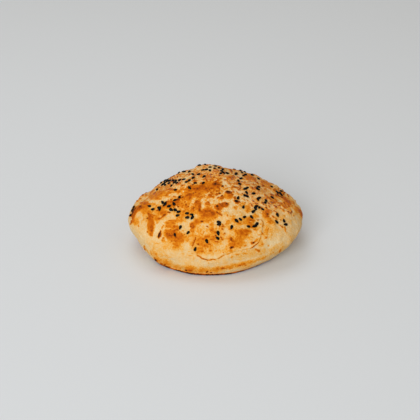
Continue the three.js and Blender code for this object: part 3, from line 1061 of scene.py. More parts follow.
    # pale dough that breaks up the gold, and a few small painted highlights
    pale: tuple[Mark, ...] = table(
        Mark,
        (204, 201, 2.7, 3.2, 0.95, 20), (206, 197, 1.5, 3.2, 0.9, -25), (208.6, 193.6, 2.2, 1.1, 0.8, 30),
        (202.7, 205.8, 1.5, 3.4, 0.95, -10), (213.8, 202.4, 4.2, 3.6, 0.95), (219, 200.4, 6, 1.3, 0.7),
        (232, 203.6, 2.6, 4, 0.7), (231, 211, 4.4, 4.4, 0.8), (241, 212, 3.4, 4.4, 0.7),
        (223.4, 213, 2.2, 2.6, 0.7), (225, 218, 3, 2.4, 0.6), (225.4, 183, 2.4, 6.4, 0.9, 32),
        (229, 189.2, 1.6, 1, 0.6), (232.8, 188.5, 0.8, 0.5, 0.8), (236, 190.8, 2.4, 1, 0.6),
        # the dots at 205.7, 185.9 and at 183.5, 191.3 are painted highlights on small blisters
        (212, 167, 4.4, 1.2, 0.6), (240, 179, 2, 4, 0.6, 30), (205.7, 185.9, 0.9, 0.7, 0.7),
        (183.5, 191.3, 0.9, 0.7, 0.8), (186.4, 174.6, 2.4, 1.6, 0.8), (200, 168.6, 3.4, 1.6, 0.7, 15),
        (192.4, 180.6, 3, 1.4, 0.8, 10), (188, 177.6, 4.6, 2.4, 0.6, 15), (196.4, 178.4, 1.8, 1.8, 0.7, 30),
        (180, 176, 4, 2.2, 0.6, 20), (184, 185.2, 5, 1.5, 0.7, 12), (179, 187.6, 4, 1.6, 0.6, 15),
        (172.6, 194.6, 4, 1.4, 0.7, 15), (152, 201.8, 5, 1.6, 0.7), (158.6, 204, 2.4, 2, 0.8),
        (148, 199.8, 3, 1, 0.6), (156.6, 209, 1.2, 1, 0.6), (139.6, 215, 2.4, 3, 0.8),
        (141, 219, 2.4, 3, 0.6), (189.6, 219.6, 4, 2.6, 0.8), (185.6, 228, 3.4, 4.4, 0.8),
        (172, 217.4, 4, 2, 0.8, 10), (166.4, 228.6, 4.4, 0.8, 0.4), (174.6, 228.9, 0.6, 0.6, 0.7),
        # the dot at 224.5, 223 is a painted highlight on a small blister
        (206.4, 227, 2.4, 1.6, 0.7), (204.6, 229.4, 1.6, 1.2, 0.5), (224.5, 223, 1.2, 0.8, 0.9, 30),
        (225.4, 242.4, 3, 3, 0.9), (226, 232, 3.4, 4, 0.7), (254.6, 234.8, 2.6, 2.4, 0.7),
        (257.4, 231.8, 1, 0.7, 0.6), (245.6, 240.6, 2.2, 1.2, 0.6, 10), (250.6, 222, 0.7, 0.6, 0.8),
        (258, 212.6, 3, 2.4, 0.6), (253, 203, 3, 3, 0.7), (254, 187.4, 2, 2.6, 0.6),
        (261, 204, 3, 2, 0.6, -20), (209.2, 212.5, 0.8, 0.5, 0.6), (272.6, 215, 1.4, 2, 0.6, 30),
        (281, 212, 2.4, 3, 0.5), (246, 198.6, 3, 1.6, 0.6, -20), (220, 217.8, 1.2, 1, 0.7),
        (194.6, 216.6, 4, 2.4, 0.5), (204.6, 233, 3.6, 2, 0.45), (232, 233, 2.6, 2.6, 0.45),
        (221.4, 247, 4.4, 2.8, 0.55), (274, 227, 2.6, 3.4, 0.5), (252.6, 183.4, 3.4, 2.2, 0.5, -35),
        (281.4, 200.2, 2.6, 1.8, 0.4, -40), (177, 177, 4.4, 2, 0.5, 20), (188, 248, 4, 6, 0.5, 10),
        (150.6, 206.6, 2.6, 2, 0.4), (293, 213.6, 3.6, 2.6, 0.5, -45),
    )
    # flour on the crown and slopes
    frost: tuple[Mark, ...] = table(
        Mark,
        (206, 171, 26, 8, 0.34, 5), (172, 183, 17, 6, 0.3, 25), (258, 192, 28, 15, 0.3, -36),
        (292, 207, 9, 12, 0.22, 35), (236, 178, 14, 8, 0.3, -15), (150, 196, 12, 5, 0.24, 35),
    )
    # stretches with many small flecks
    flecks: tuple[FleckField, ...] = table(
        FleckField,
        (262, 193, 27, 16, -36, 90), (224, 177, 26, 9, -5, 64), (184, 179, 26, 8, 18, 52),
        (186, 207, 12, 7, 0, 8), (214, 231, 22, 11, 0, 5), (280, 212, 18, 11, -42, 30),
        (158, 206, 18, 10, 15, 14), (238, 240, 20, 10, 5, 4), (176, 234, 11, 8, 25, 16),
    )
    # thin brown lines
    strokes: tuple[Stroke, ...] = (
        # cracks and threads on the upper half
        Stroke(((216.7, 211.8), (218.6, 213.8), (221.8, 215.6)), 0.85, 0.74),
        Stroke(((171, 180.3), (173, 177.8)), 0.5, 0.76),
        Stroke(((197.5, 172.6), (200.5, 170.3)), 0.6, 0.62),
        Stroke(((158.5, 219.3), (162, 217.2), (165.5, 215)), 1.0, 0.68),
        Stroke(((161.5, 228.5), (163.5, 225.3)), 0.7, 0.62),
        Stroke(((276.5, 194), (279, 196.4), (282, 197.8)), 0.6, 0.90),
        Stroke(((282.3, 205.8), (284.8, 208.8)), 0.7, 0.66),
        Stroke(((285.3, 205.8), (287.3, 208)), 0.6, 0.66),
        Stroke(((267.5, 197.3), (271, 200.3)), 0.8, 0.68),
        Stroke(((267.8, 203.2), (270.8, 205.3)), 0.7, 0.70),
        Stroke(((273.8, 210.8), (277, 213.3)), 0.5, 0.78),
        Stroke(((272.5, 216), (276.5, 219)), 0.8, 0.58),
        Stroke(((280, 225), (282.3, 227.5)), 0.6, 0.76),
        Stroke(((284.5, 227), (285.3, 231.8)), 0.9, 0.54),
        # threads on the front pillow
        Stroke(((204.2, 231.3), (202.5, 234.5)), 0.7, 0.60),
        Stroke(((220.8, 236.8), (222.8, 239.8)), 0.8, 0.72),
        Stroke(((195.5, 238), (193.6, 242.4), (192.3, 246)), 0.7, 0.82),
        Stroke(((279.4, 252), (280.6, 249.2)), 0.6, 0.62),
        Stroke(((167, 258.3), (172, 256.3)), 0.5, 0.36),
        # the crease under the pillow, browned in places, with painted shade along its groove
        Stroke(((197.8, 255), (200, 256.3), (202.5, 258), (204.4, 258.5)), 1.15, 0.64),
        Stroke(((203.6, 258.4), (205, 258.7)), 0.9, 0.86),
        Stroke(((206, 258.9), (207.7, 260)), 0.8, 0.66),
        Stroke(((209.3, 259.9), (211, 259.3), (213, 258.9), (215, 259.4)), 1.0, 0.60),
        Stroke(((218, 258.5), (219.3, 257.6), (221, 256.3), (223.7, 254.8)), 0.8, 0.54),
        # these two faint lines are painted shade under the pillow's lower edge
        Stroke(((227, 254.3), (230, 253), (234, 251.5)), 0.9, 0.36),
        Stroke(((243, 249.5), (248, 248.3)), 0.9, 0.36),
        Stroke(((250, 248), (252.3, 246.8), (256, 244.5), (258, 242.6)), 0.8, 0.68),
        Stroke(((259.6, 240.6), (261, 237), (261.5, 232.5)), 0.6, 0.46),
        Stroke(((262, 227), (263, 224), (262.5, 221.5), (261, 220)), 0.55, 0.64),
    )
    # out of view: gold, browns, dark blisters, chin spots, the foot's band and its char, and the underside
    hidden: tuple[SpotRule, ...] = (
        SpotRule(44, (8, 172), (0.15, 0.98), (6, 17), (4, 9), (0.36, 0.52)),
        SpotRule(120, (6, 174), (0.12, 1.02), (1.6, 6), (1.2, 3.4), (0.50, 0.70)),
        SpotRule(70, (6, 174), (0.12, 1.0), (0.8, 2.6), (0.7, 1.6), (0.62, 0.95)),
        SpotRule(60, (-4, 184), (1.0, 1.26), (0.8, 3.2), (0.8, 2), (0.38, 0.60)),
        SpotRule(46, (0, 200), (1.27, 1.40), (5, 12), (2, 3.6), (0.42, 0.62)),
        SpotRule(24, (0, 200), (1.30, 1.42), (1, 2.4), (0.8, 1.4), (0.66, 1.0)),
        SpotRule(70, (-180, 180), (1.5, 1.98), (2, 7), (2, 6), (0.5, 0.92)),
    )
    # pale ridges that stand a little proud: paler dough, with painted highlight along their crests
    pale_highlit_ridges: tuple[Stroke, ...] = (
        Stroke(((154.9, 236), (156.4, 229), (159.4, 223.6), (164, 219.5), (168, 217)), 1.2, 0.9),
        Stroke(((213, 195.8), (216, 197), (219, 196), (221.5, 194.5), (223.5, 193), (225, 191)), 0.6, 0.95),
        Stroke(((262, 228), (262.6, 231.6)), 0.7, 0.8),
    )
    # the crease under the front pillow
    crease: Route = (
        (195.5, 252), (197.5, 255), (201, 257), (204, 258.3), (207, 258.9), (210, 259.3), (214, 258.8),
        (217.5, 258.4), (219.5, 257), (223, 255), (229, 253), (236, 251), (244, 249.8), (250, 248.4),
        (254, 246.3), (257, 243.8), (259.5, 240.5), (261, 236), (261.6, 232), (262.2, 227), (262.8, 223),
        (261.5, 220.6), (259, 220),
    )


@dataclass(frozen=True)
class CrustZones:
    """Where each zone of the crust is."""

    # by how squarely the crust faces the view
    seen: Fall = Fall(0.15, 0.02)
    # by reach
    upper: Fall = Fall(0.72, 0.98)
    crown: Fall = Fall(0.35, 0.65)
    sole: Fall = Fall(1.64, 1.46)
    flat: Fall = Fall(1.62, 1.35)
    # the dark band along the foot's bottom edge: char from the stone, and painted shade where the crust
    # meets the floor
    foot_char_and_shade_reach: Fall = Fall(1.54, 1.76)
    foot_char_and_shade_clouds: float = 0.12
    # by height in millimetres
    foot_char_and_shade_height: Fall = Fall(1.5, 3.0)
    # by heat
    toasted: Fall = Fall(0.62, 0.42)
    blistered: Fall = Fall(0.85, 0.30)
    # by the noise that breaks the crease
    broken: Fall = Fall(0.25, -0.25)


@dataclass(frozen=True)
class MarkEdges:
    """How each kind of mark fades at its edge, as a share of its half sizes or its half width."""

    glow: Fall = Fall(0.5, 1.25)
    golden: Fall = Fall(0.5, 1.4)
    foot_band: Fall = Fall(0.1, 1.5)
    pale: Fall = Fall(0.5, 1.3)
    brown: Fall = Fall(0.78, 1.24)
    stroke: Fall = Fall(0.4, 1.6)
    pale_highlit_ridges: Fall = Fall(0.5, 1.7)
    frost: Fall = Fall(0.5, 1.4)
    spot: Fall = Fall(0.45, 1.35)


@dataclass(frozen=True)
class ToastRule:
    """How much toast each cause adds, from 0, cream, to 1, nearly black, and what calms it, as a share."""

    dough: float = 0.15
    upper: float = 0.07
    sole: float = 0.16
    clouds: float = 0.13
    sole_clouds: float = 0.12
    mottle: float = 0.08
    upper_mottle: float = 0.06
    rough_mottle: float = 0.20
    toasted_calm: float = 0.6
    bubble_calm: float = 0.7
    hidden_calm: float = 0.8
    wrinkles: float = -0.10
    streaks: float = 0.08
    # the dark band along the foot's bottom edge: char from the stone, and painted shade where the crust
    # turns under to the floor
    foot_char_and_shade: float = 0.92
    foot_char_and_shade_mottle: float = 0.3
    marks_gain: float = 1.06
    most: float = 1.1


@dataclass(frozen=True)
class FlourRule:
    """How much flour each cause leaves on the crust, and how much of it makes the crust look rough."""

    dough: float = 0.25
    toast: float = -0.9
    clouds: float = 0.3
    frost_seen: float = 0.8
    frost_hidden: float = 0.12
    rough_frost: float = 0.2


@dataclass(frozen=True)
class SpeckleRule:
    """How strongly the grain shows for each cause, and what calms it, as a share."""

    dough: float = 0.72
    upper: float = 0.08
    crown: float = 0.90
    frost: float = 1.5
    toasted_calm: float = 0.75


@dataclass(frozen=True)
class RiseRule:
    """How far each cause raises the crust in millimetres, and the widths on the picture in pixels."""

    blisters: float = 0.7
    mottle: float = 0.30
    clouds: float = 0.30
    streaks: float = 0.14
    wrinkles: float = -0.22
    groove: float = -0.1
    broken_groove: float = -0.4
    groove_width: float = 0.8
    lip: float = 1.3
    lip_width: float = 4.0
    ridge: float = 0.6
    crumb_area: float = 1.2


@dataclass(frozen=True)
class FleckRule:
    """How flecks differ: sizes in pixels, stretch and thinness as shares, turn in degrees, and toast."""

    draw_seed: int = 9
    size: tuple[float, float] = (0.45, 1.1)
    stretch: tuple[float, float] = (1.0, 2.2)
    thinness: float = 0.8
    turn: tuple[float, float] = (-30.0, 30.0)
    level: tuple[float, float] = (0.50, 0.80)


@dataclass(frozen=True)
class BubbleRule:
    """How bubbles differ: radius in millimetres, height as a share of it, and toast."""

    draw_seed: int = 8
    count: int = 520
    farthest_reach: float = 1.1
    smallest: float = 1.2
    growth: float = 3.0
    height: tuple[float, float] = (0.06, 0.16)
    toast: tuple[float, float] = (-0.1, 0.3)


@dataclass(frozen=True)
class Oven:
    """What the oven does to the loaf: toast, flour and grain, and the relief that rises with them."""

    form: LoafForm
    view: PictureView
    toasting: ToastMap = ToastMap()
    zones: CrustZones = CrustZones()
    edges: MarkEdges = MarkEdges()
    toast_rule: ToastRule = ToastRule()
    flour_rule: FlourRule = FlourRule()
    speckle_rule: SpeckleRule = SpeckleRule()
    rise_rule: RiseRule = RiseRule()
    fleck_rule: FleckRule = FleckRule()
    bubble_rule: BubbleRule = BubbleRule()
    wander: Cloud = Cloud(8.0, 2, 10.0)
    jitter: Cloud = Cloud(2.4, 2, 15.0)
    clouds: Cloud = Cloud(15.0, 3, 51.0)
    mottle: Cloud = Cloud(4.0, 3, 77.0)
    wrinkles: Cloud = Cloud(11.0, 3, 93.0)
    wrinkle_width: float = 0.05
    streaks: Cloud = Cloud(2.2, 2, 63.0)
    streak_squash: tuple[float, float, float] = (1.0, 1.0, 0.3)
    breaks: Cloud = Cloud(6.0, 2, 31.0)
    seen_wander: float = 0.25
    seen_jitter: float = 0.32
    hidden_wander: float = 1.5
    hidden_jitter: float = 0.9
    spot_seed: int = 7
    spot_depth: float = 6.0
    mark_seam: int = 8
    spot_seam: int = 4

    def bake(self, points: np.ndarray, directions: np.ndarray, normals: np.ndarray) -> Baked:
        """Bakes the loaf.

        Args:
            points: the smooth form's points in millimetres.
            directions: the unit direction of each point.
            normals: the smooth form's normal at each point.

        Returns:
            How each point of the crust baked.
        """
        dough = self.survey(points, directions, normals)
        moved = points + self.seen_wander * dough.wander + self.seen_jitter * dough.jitter
        places = self.view.project(moved)
        heat = self.heat(dough, places)
        frost = self.frost(dough, places)
        bubble_rise, bubble_toast = self.bubbles(points)
        toast = self.toast(dough, heat, frost, bubble_toast)
        flour_rule = self.flour_rule
        flour = flour_rule.dough + flour_rule.toast * toast + flour_rule.clouds * dough.clouds
        rule = self.speckle_rule
        speckle = rule.dough + rule.upper * dough.upper + rule.crown * dough.crown
        speckle *= 1.0 - rule.toasted_calm * smooth_fall(heat, self.zones.toasted)
        return Baked(
            toast=np.clip(toast, 0.0, self.toast_rule.most),
            flour=np.clip(flour, 0.0, 1.0) + frost,
            speckle=speckle + rule.frost * frost,
            rise=self.rise(dough, heat, bubble_rise),
        )

    def survey(self, points: np.ndarray, directions: np.ndarray, normals: np.ndarray) -> Dough:
        """Works out where each point lies on the loaf, and the noise there.

        Args:
            points: the smooth form's points in millimetres.
            directions: the unit direction of each point.
            normals: the smooth form's normal at each point.

        Returns:
            The dough before baking.
        """
        _, reach = self.form.places(directions)
        upper = smooth_fall(reach, self.zones.upper)
        wrinkles = noise_field(points, self.wrinkles) / self.wrinkle_width
        streaks = noise_field(points * np.array(self.streak_squash), self.streaks)
        return Dough(
            points=points,
            reach=reach,
            seen=smooth_fall(self.view.facing(points, normals), self.zones.seen),
            upper=upper,
            crown=smooth_fall(reach, self.zones.crown),
            sole=smooth_fall(reach, self.zones.sole),
            wander=noise_vectors(points, self.wander),
            jitter=noise_vectors(points, self.jitter),
            clouds=noise_field(points, self.clouds),
            mottle=noise_field(points, self.mottle),
            wrinkles=np.exp(-wrinkles ** 2) * upper,
            streaks=streaks * (1.0 - upper),
        )

    def heat(self, dough: Dough, places: np.ndarray) -> np.ndarray:
        """Works out the toasted marks, as the picture shows them and thrown where it doesn't.

        Args:
            dough: the dough before baking.
            places: where its points fall on the picture, moved a little so that edges are ragged.

        Returns:
            How much each point is toasted.
        """
        ragged = dough.points + self.hidden_wander * dough.wander + self.hidden_jitter * dough.jitter
        hidden = self.hidden_heat(ragged) * (1.0 - self.toast_rule.hidden_calm * dough.seen)
        return np.maximum(self.seen_heat(places) * dough.seen, hidden)

    def frost(self, dough: Dough, places: np.ndarray) -> np.ndarray:
        """Works out the dusting of flour on the upper crust.

        Args:
            dough: the dough before baking.
            places: where its points fall on the picture.

        Returns:
            How much flour lies on each point.
        """
        rule = self.flour_rule
        shown = rule.frost_seen * dough.seen * self.blend(places, self.toasting.frost, self.edges.frost)
        return shown + rule.frost_hidden * (1.0 - dough.seen) * dough.upper

    def toast(self, dough: Dough, heat: np.ndarray, frost: np.ndarray,
              bubble_toast: np.ndarray) -> np.ndarray:
        """Adds up the toast: marks or plain dough, mottled, with bubbles, wrinkles and streaks, and a foot
        band of char and painted shade.

        Args:
            dough: the dough before baking.
            heat: how much the toasted marks give each point.
            frost: how much flour lies on it.
            bubble_toast: how much more the bubbles toast it.

        Returns:
            The toast of each point.
        """
        rule = self.toast_rule
        clouds = (rule.clouds + rule.sole_clouds * dough.sole) * dough.clouds
        plain = rule.dough + rule.upper * dough.upper + rule.sole * dough.sole + clouds
        rough = np.maximum(dough.crown, np.clip(frost / self.flour_rule.rough_frost, 0.0, 1.0))
        patchy = rule.mottle + rule.upper_mottle * dough.upper + rule.rough_mottle * rough
        patchy *= 1.0 - rule.toasted_calm * smooth_fall(heat, self.zones.toasted)
        toast = np.maximum(heat, plain) + patchy * dough.mottle
        toast += bubble_toast * dough.upper * (1.0 - rule.bubble_calm * dough.seen)
        toast += rule.wrinkles * dough.wrinkles + rule.streaks * dough.streaks
        # the foot's lowest edge darkens: char, and painted shade of the contact with the floor
        foot_char_and_shade = smooth_fall(dough.reach + self.zones.foot_char_and_shade_clouds * dough.clouds, self.zones.foot_char_and_shade_reach)
        foot_char_and_shade *= smooth_fall(dough.points[:, 2], self.zones.foot_char_and_shade_height)
        return np.maximum(toast, (rule.foot_char_and_shade + rule.foot_char_and_shade_mottle * dough.mottle) * foot_char_and_shade)

    def rise(self, dough: Dough, heat: np.ndarray, bubble_rise: np.ndarray) -> np.ndarray:
        """Adds up the relief, which fades out before the flat foot.

        Args:
            dough: the dough before baking.
            heat: how much the toasted marks give each point.
            bubble_rise: how far the bubbles raise it in millimetres.

        Returns:
            How far each point rises along its normal in millimetres.
        """
        rule = self.rise_rule
        rise = rule.blisters * smooth_fall(heat, self.zones.blistered) + bubble_rise
        rise += rule.mottle * dough.mottle + rule.clouds * dough.clouds
        rise += rule.streaks * dough.streaks + rule.wrinkles * dough.wrinkles
        rise += self.crease(dough)
        return rise * (1.0 - smooth_fall(dough.reach, self.zones.flat))

    def seen_heat(self, places: np.ndarray) -> np.ndarray:
        """Adds up the toasted marks that the picture shows.

        Args:
            places: where the crust's points fall on the picture.

        Returns:
            How much each point is toasted.
        """
        toasting, edges, seam = self.toasting, self.edges, self.mark_seam
        golden = np.maximum.reduce([
            self.blend(places, toasting.glow, edges.glow),
            self.blend(places, toasting.golden, edges.golden),
            self.blend(places, toasting.foot_band, edges.foot_band),
        ])
        for mark in toasting.pale:
            golden *= 1.0 - mark.level * smooth_fall(mark.away(places), edges.pale)
        brown = self.blend(places, toasting.marks + tuple(self.flecks()), edges.brown)
        for stroke in toasting.strokes:
            brown = np.maximum(brown, stroke.level * smooth_fall(stroke.away(places), edges.stroke))
        heat = self.toast_rule.marks_gain * (golden ** seam + brown ** seam) ** (1.0 / seam)
        # the pale ridges are lightened: paler dough, and painted highlight along their crests
        for stroke in toasting.pale_highlit_ridges:
            heat *= 1.0 - stroke.level * smooth_fall(stroke.away(places), edges.pale_highlit_ridges)
        return heat

    def blend(self, places: np.ndarray, marks: tuple[Mark, ...], edge: Fall) -> np.ndarray:
        """Blends marks into one layer, with a soft seam where two meet.

        Args:
            places: where the crust's points fall on the picture.
            marks: the marks of the layer.
            edge: how a mark fades at its edge.

        Returns:
            The layer's level at each point.
        """
        total = np.zeros(len(places))
        for mark in marks:
            total += (mark.level * smooth_fall(mark.away(places), edge)) ** self.mark_seam
        return total ** (1.0 / self.mark_seam)

    def flecks(self) -> list[Mark]:
        """Throws small toasted flecks over the stretches that have them.

        Returns:
            The flecks.
        """
        rule = self.fleck_rule
        draw = SeededDraw(rule.draw_seed)
        flecks: list[Mark] = []
        for stretch in self.toasting.flecks:
            for _ in range(stretch.count):
                away = math.sqrt(draw())
                turn = 2.0 * math.pi * draw()
                size = draw.between(*rule.size)
                flecks.append(Mark(
                    stretch.x + stretch.wide * away * math.cos(turn),
                    stretch.y + stretch.high * away * math.sin(turn),
                    size * draw.between(*rule.stretch), size * rule.thinness,
                    tilt=stretch.tilt + draw.between(*rule.turn), level=draw.between(*rule.level),
                ))
        return flecks

    def hidden_heat(self, points: np.ndarray) -> np.ndarray:
        """Adds up the toasted spots where the picture doesn't show the crust.

        Args:
            points: places in millimetres.

        Returns:
            How much each point is toasted.
        """
        draw = SeededDraw(self.spot_seed)
        heat = np.zeros(len(points))
        for rule in self.toasting.hidden:
            for _ in range(rule.count):
                spot = Spot(*(draw.between(*span) for span in rule[1:]))
                heat += (spot.level * self.spot_cover(points, spot)) ** self.spot_seam
        return heat ** (1.0 / self.spot_seam)

    def spot_cover(self, points: np.ndarray, spot: Spot) -> np.ndarray:
        """Finds how much of a spot's toast reaches each point.

        Args:
            points: places in millimetres.
            spot: the toasted spot.

        Returns:
            1 in the middle of the spot, falling to 0 past its edge.
        """
        middle = self.form.patch(self.form.direction(spot.bearing, spot.reach))
        turn = math.radians(spot.bearing)
        level = np.array([-math.sin(turn), math.cos(turn), 0.0])
        level -= middle.normal * level.dot(middle.normal)
        level /= np.linalg.norm(level)
        uphill = np.cross(middle.normal, level)
        away = points - middle.point
        distance = np.hypot(away @ level / spot.across, away @ uphill / spot.up)
        deep = np.abs(away @ middle.normal) > spot.across + self.spot_depth
        return np.where(deep, 0.0, smooth_fall(distance, self.edges.spot))

    def bubbles(self, points: np.ndarray) -> tuple[np.ndarray, np.ndarray]:
        """Scatters small bubbles over the crust.

        Args:
            points: places in millimetres.

        Returns:
            How far they raise the crust in millimetres, and how much more they toast it.
        """
        rule = self.bubble_rule
        draw = SeededDraw(rule.draw_seed)
        tree = KDTree(len(points))
        for index, point in enumerate(points.tolist()):
            tree.insert(point, index)
        tree.balance()
        rise = np.zeros(len(points))
        toast = np.zeros(len(points))
        for _ in range(rule.count):
            bearing = draw.between(-180.0, 180.0)
            reach = math.sqrt(draw()) * rule.farthest_reach
            middle = self.form.crust(self.form.direction(bearing, reach)[None])[0]
            radius = rule.smallest + rule.growth * draw() ** 2
            height = draw.between(*rule.height) * radius
            browning = draw.between(*rule.toast)
            for _, index, distance in tree.find_range(middle, radius):
                dome = (1.0 - (distance / radius) ** 2) ** 2
                rise[index] += height * dome
                toast[index] += browning * dome
        return rise, toast

    def crease(self, dough: Dough) -> np.ndarray:
        """Works out the crease under the front pillow, the pale ridges, the crumbs and the trims.

        Args:
            dough: the dough before baking.

        Returns:
            How far they raise the crust in millimetres.
        """
        rule = self.rise_rule
        places = self.view.project(dough.points)
        rise = np.zeros(len(places))
        for crumb in self.toasting.crumbs:
            away = (places[:, 0] - crumb.x) ** 2 + (places[:, 1] - crumb.y) ** 2
            rise += crumb.height * np.exp(-away / rule.crumb_area)
        distance, side = route_distance(places, self.toasting.crease)
        broken = smooth_fall(noise_field(dough.points, self.breaks), self.zones.broken)
        groove = np.exp(-(distance / rule.groove_width) ** 2)
        rise += np.where(side > 0.0, rule.lip * np.exp(-distance / rule.lip_width), 0.0)
        rise += (rule.groove + rule.broken_groove * broken) * groove
        for stroke in self.toasting.pale_highlit_ridges:
            rise += rule.ridge * np.exp(-stroke.away(places) ** 2)
        rise *= dough.seen
        for trim in self.toasting.trims:
            rise += trim.level * np.exp(-trim.away(places) ** 2)
        return rise


@dataclass(frozen=True)
class Crust:
    """The bread's crust: the loaf's form as it comes out of the oven."""

    form: LoafForm
    oven: Oven
    finish: BakedCrust = BakedCrust()
    first_cuts: int = 62
    second_cuts: int = 1
    edge_push: float = 1.8
    edge_reach: float = 1.56
    edge_fall: Fall = Fall(0.04, 0.14)
    least_length: float = 1e-6
    map_split: float = 1.2
    top_disc: MapDisc = MapDisc((0.31, 0.69), 0.305, 1.22)
    under_disc: MapDisc = MapDisc((0.725, 0.275), 0.27, 0.82)

    def build(self) -> bpy.types.Object:
        """Builds the crust's mesh.

        Returns:
            The crust's object, at the origin.
        """
        crust = self.start_ball()
        directions = self.ball_directions(crust)
        points = self.form.crust(directions)
        self.place_points(crust, points)
        normals = self.normals(crust)
        baked = self.oven.bake(points, directions, normals)
        points = points + normals * baked.rise[:, None] + self.foot_edge(directions)
        points[:, 2] = np.maximum(points[:, 2], 0.0)
        self.place_points(crust, points)
        for layer in Layer:
            attribute = crust.data.attributes.new(layer.value, "FLOAT", "POINT")
            attribute.data.foreach_set("value", getattr(baked, layer.value).astype(np.float32))
        self.lay_out(crust, directions)
        crust.data.materials.append(self.finish.material())
        return crust

    def start_ball(self) -> bpy.types.Object:
        """Adds a cube and cuts it into a fine grid of quads.

        Returns:
            The cut cube.
        """
        bpy.ops.object.select_all(action="DESELECT")
        bpy.ops.mesh.primitive_cube_add(size=2.0)
        crust = bpy.context.object
        crust.name = "lavash_crust"
        crust.data.name = "lavash_crust"
        for layer in list(crust.data.uv_layers):
            crust.data.uv_layers.remove(layer)
        bpy.ops.object.mode_set(mode="EDIT")
        bpy.ops.mesh.select_all(action="SELECT")
        bpy.ops.mesh.subdivide(number_cuts=self.first_cuts)
        bpy.ops.mesh.subdivide(number_cuts=self.second_cuts)
        bpy.ops.object.mode_set(mode="OBJECT")
        bpy.ops.object.shade_smooth()
        return crust

    @staticmethod
    def ball_directions(crust: bpy.types.Object) -> np.ndarray:
        """Swells the cut cube into a ball with quads of nearly even size.

        Args:
            crust: the cut cube.

        Returns:
            The unit direction of each of its points.
        """
        flat = np.empty(3 * len(crust.data.vertices))
        crust.data.vertices.foreach_get("co", flat)
        swollen = np.tan(flat.reshape(-1, 3) * (math.pi / 4.0))
        return swollen / np.linalg.norm(swollen, axis=1, keepdims=True)

    @staticmethod
    def place_points(crust: bpy.types.Object, points: np.ndarray) -> None:
        """Moves the mesh to points in millimetres."""
        crust.data.vertices.foreach_set("co", (points * MM).ravel())
        crust.data.update()

    @staticmethod
    def normals(crust: bpy.types.Object) -> np.ndarray:
        """Reads the mesh's normals.

        Args:
            crust: the crust's object.

        Returns:
            The normal at each point.
        """
        flat = np.empty(3 * len(crust.data.vertices), dtype=np.float32)
        crust.data.vertex_normals.foreach_get("vector", flat)
        return flat.reshape(-1, 3).astype(float)

    def foot_edge(self, directions: np.ndarray) -> np.ndarray:
        """Presses the foot's edge out, where it lay on the hot stone.

        Args:
            directions: the unit direction of each point.

        Returns:
            How far each point moves, in millimetres.
        """
        _, reach = self.form.places(directions)
        # pushed out, this edge shows the foot's dark band, which is partly painted shade of the contact
        # with the floor
        push = self.edge_push * smooth_fall(np.abs(reach - self.edge_reach), self.edge_fall)
        outward = directions * np.array((1.0, 1.0, 0.0))
        length = np.maximum(np.linalg.norm(outward, axis=1), self.least_length)
        return outward * (push / length)[:, None]

    def lay_out(self, crust: bpy.types.Object, directions: np.ndarray) -> None:
        """Gives the crust a map of two discs, the top and the underside, for its baked textures.

        Args:
            crust: the crust's object.
            directions: the unit direction of each point.
        """
        bearing, reach = self.form.places(directions)
        loops = np.empty(len(crust.data.loops), dtype=np.int32)
        crust.data.loops.foreach_get("vertex_index", loops)
        corners = loops.reshape(-1, QUAD_CORNERS)
        over = np.repeat(reach[corners].mean(axis=1) < self.map_split, QUAD_CORNERS)
        turn = np.radians(bearing[loops])
        top = self.top_disc.radius * reach[loops] / self.top_disc.stretch
        under = self.under_disc.radius * (2.0 - reach[loops]) / self.under_disc.stretch
        radius = np.where(over, top, under)
        middle = np.where(over[:, None], np.array(self.top_disc.middle), np.array(self.under_disc.middle))
        spots = middle + radius[:, None] * np.stack([np.cos(turn), np.sin(turn)], axis=1)
        layer = crust.data.uv_layers.new(name="OFBake")
        layer.data.foreach_set("uv", spots.astype(np.float32).ravel())


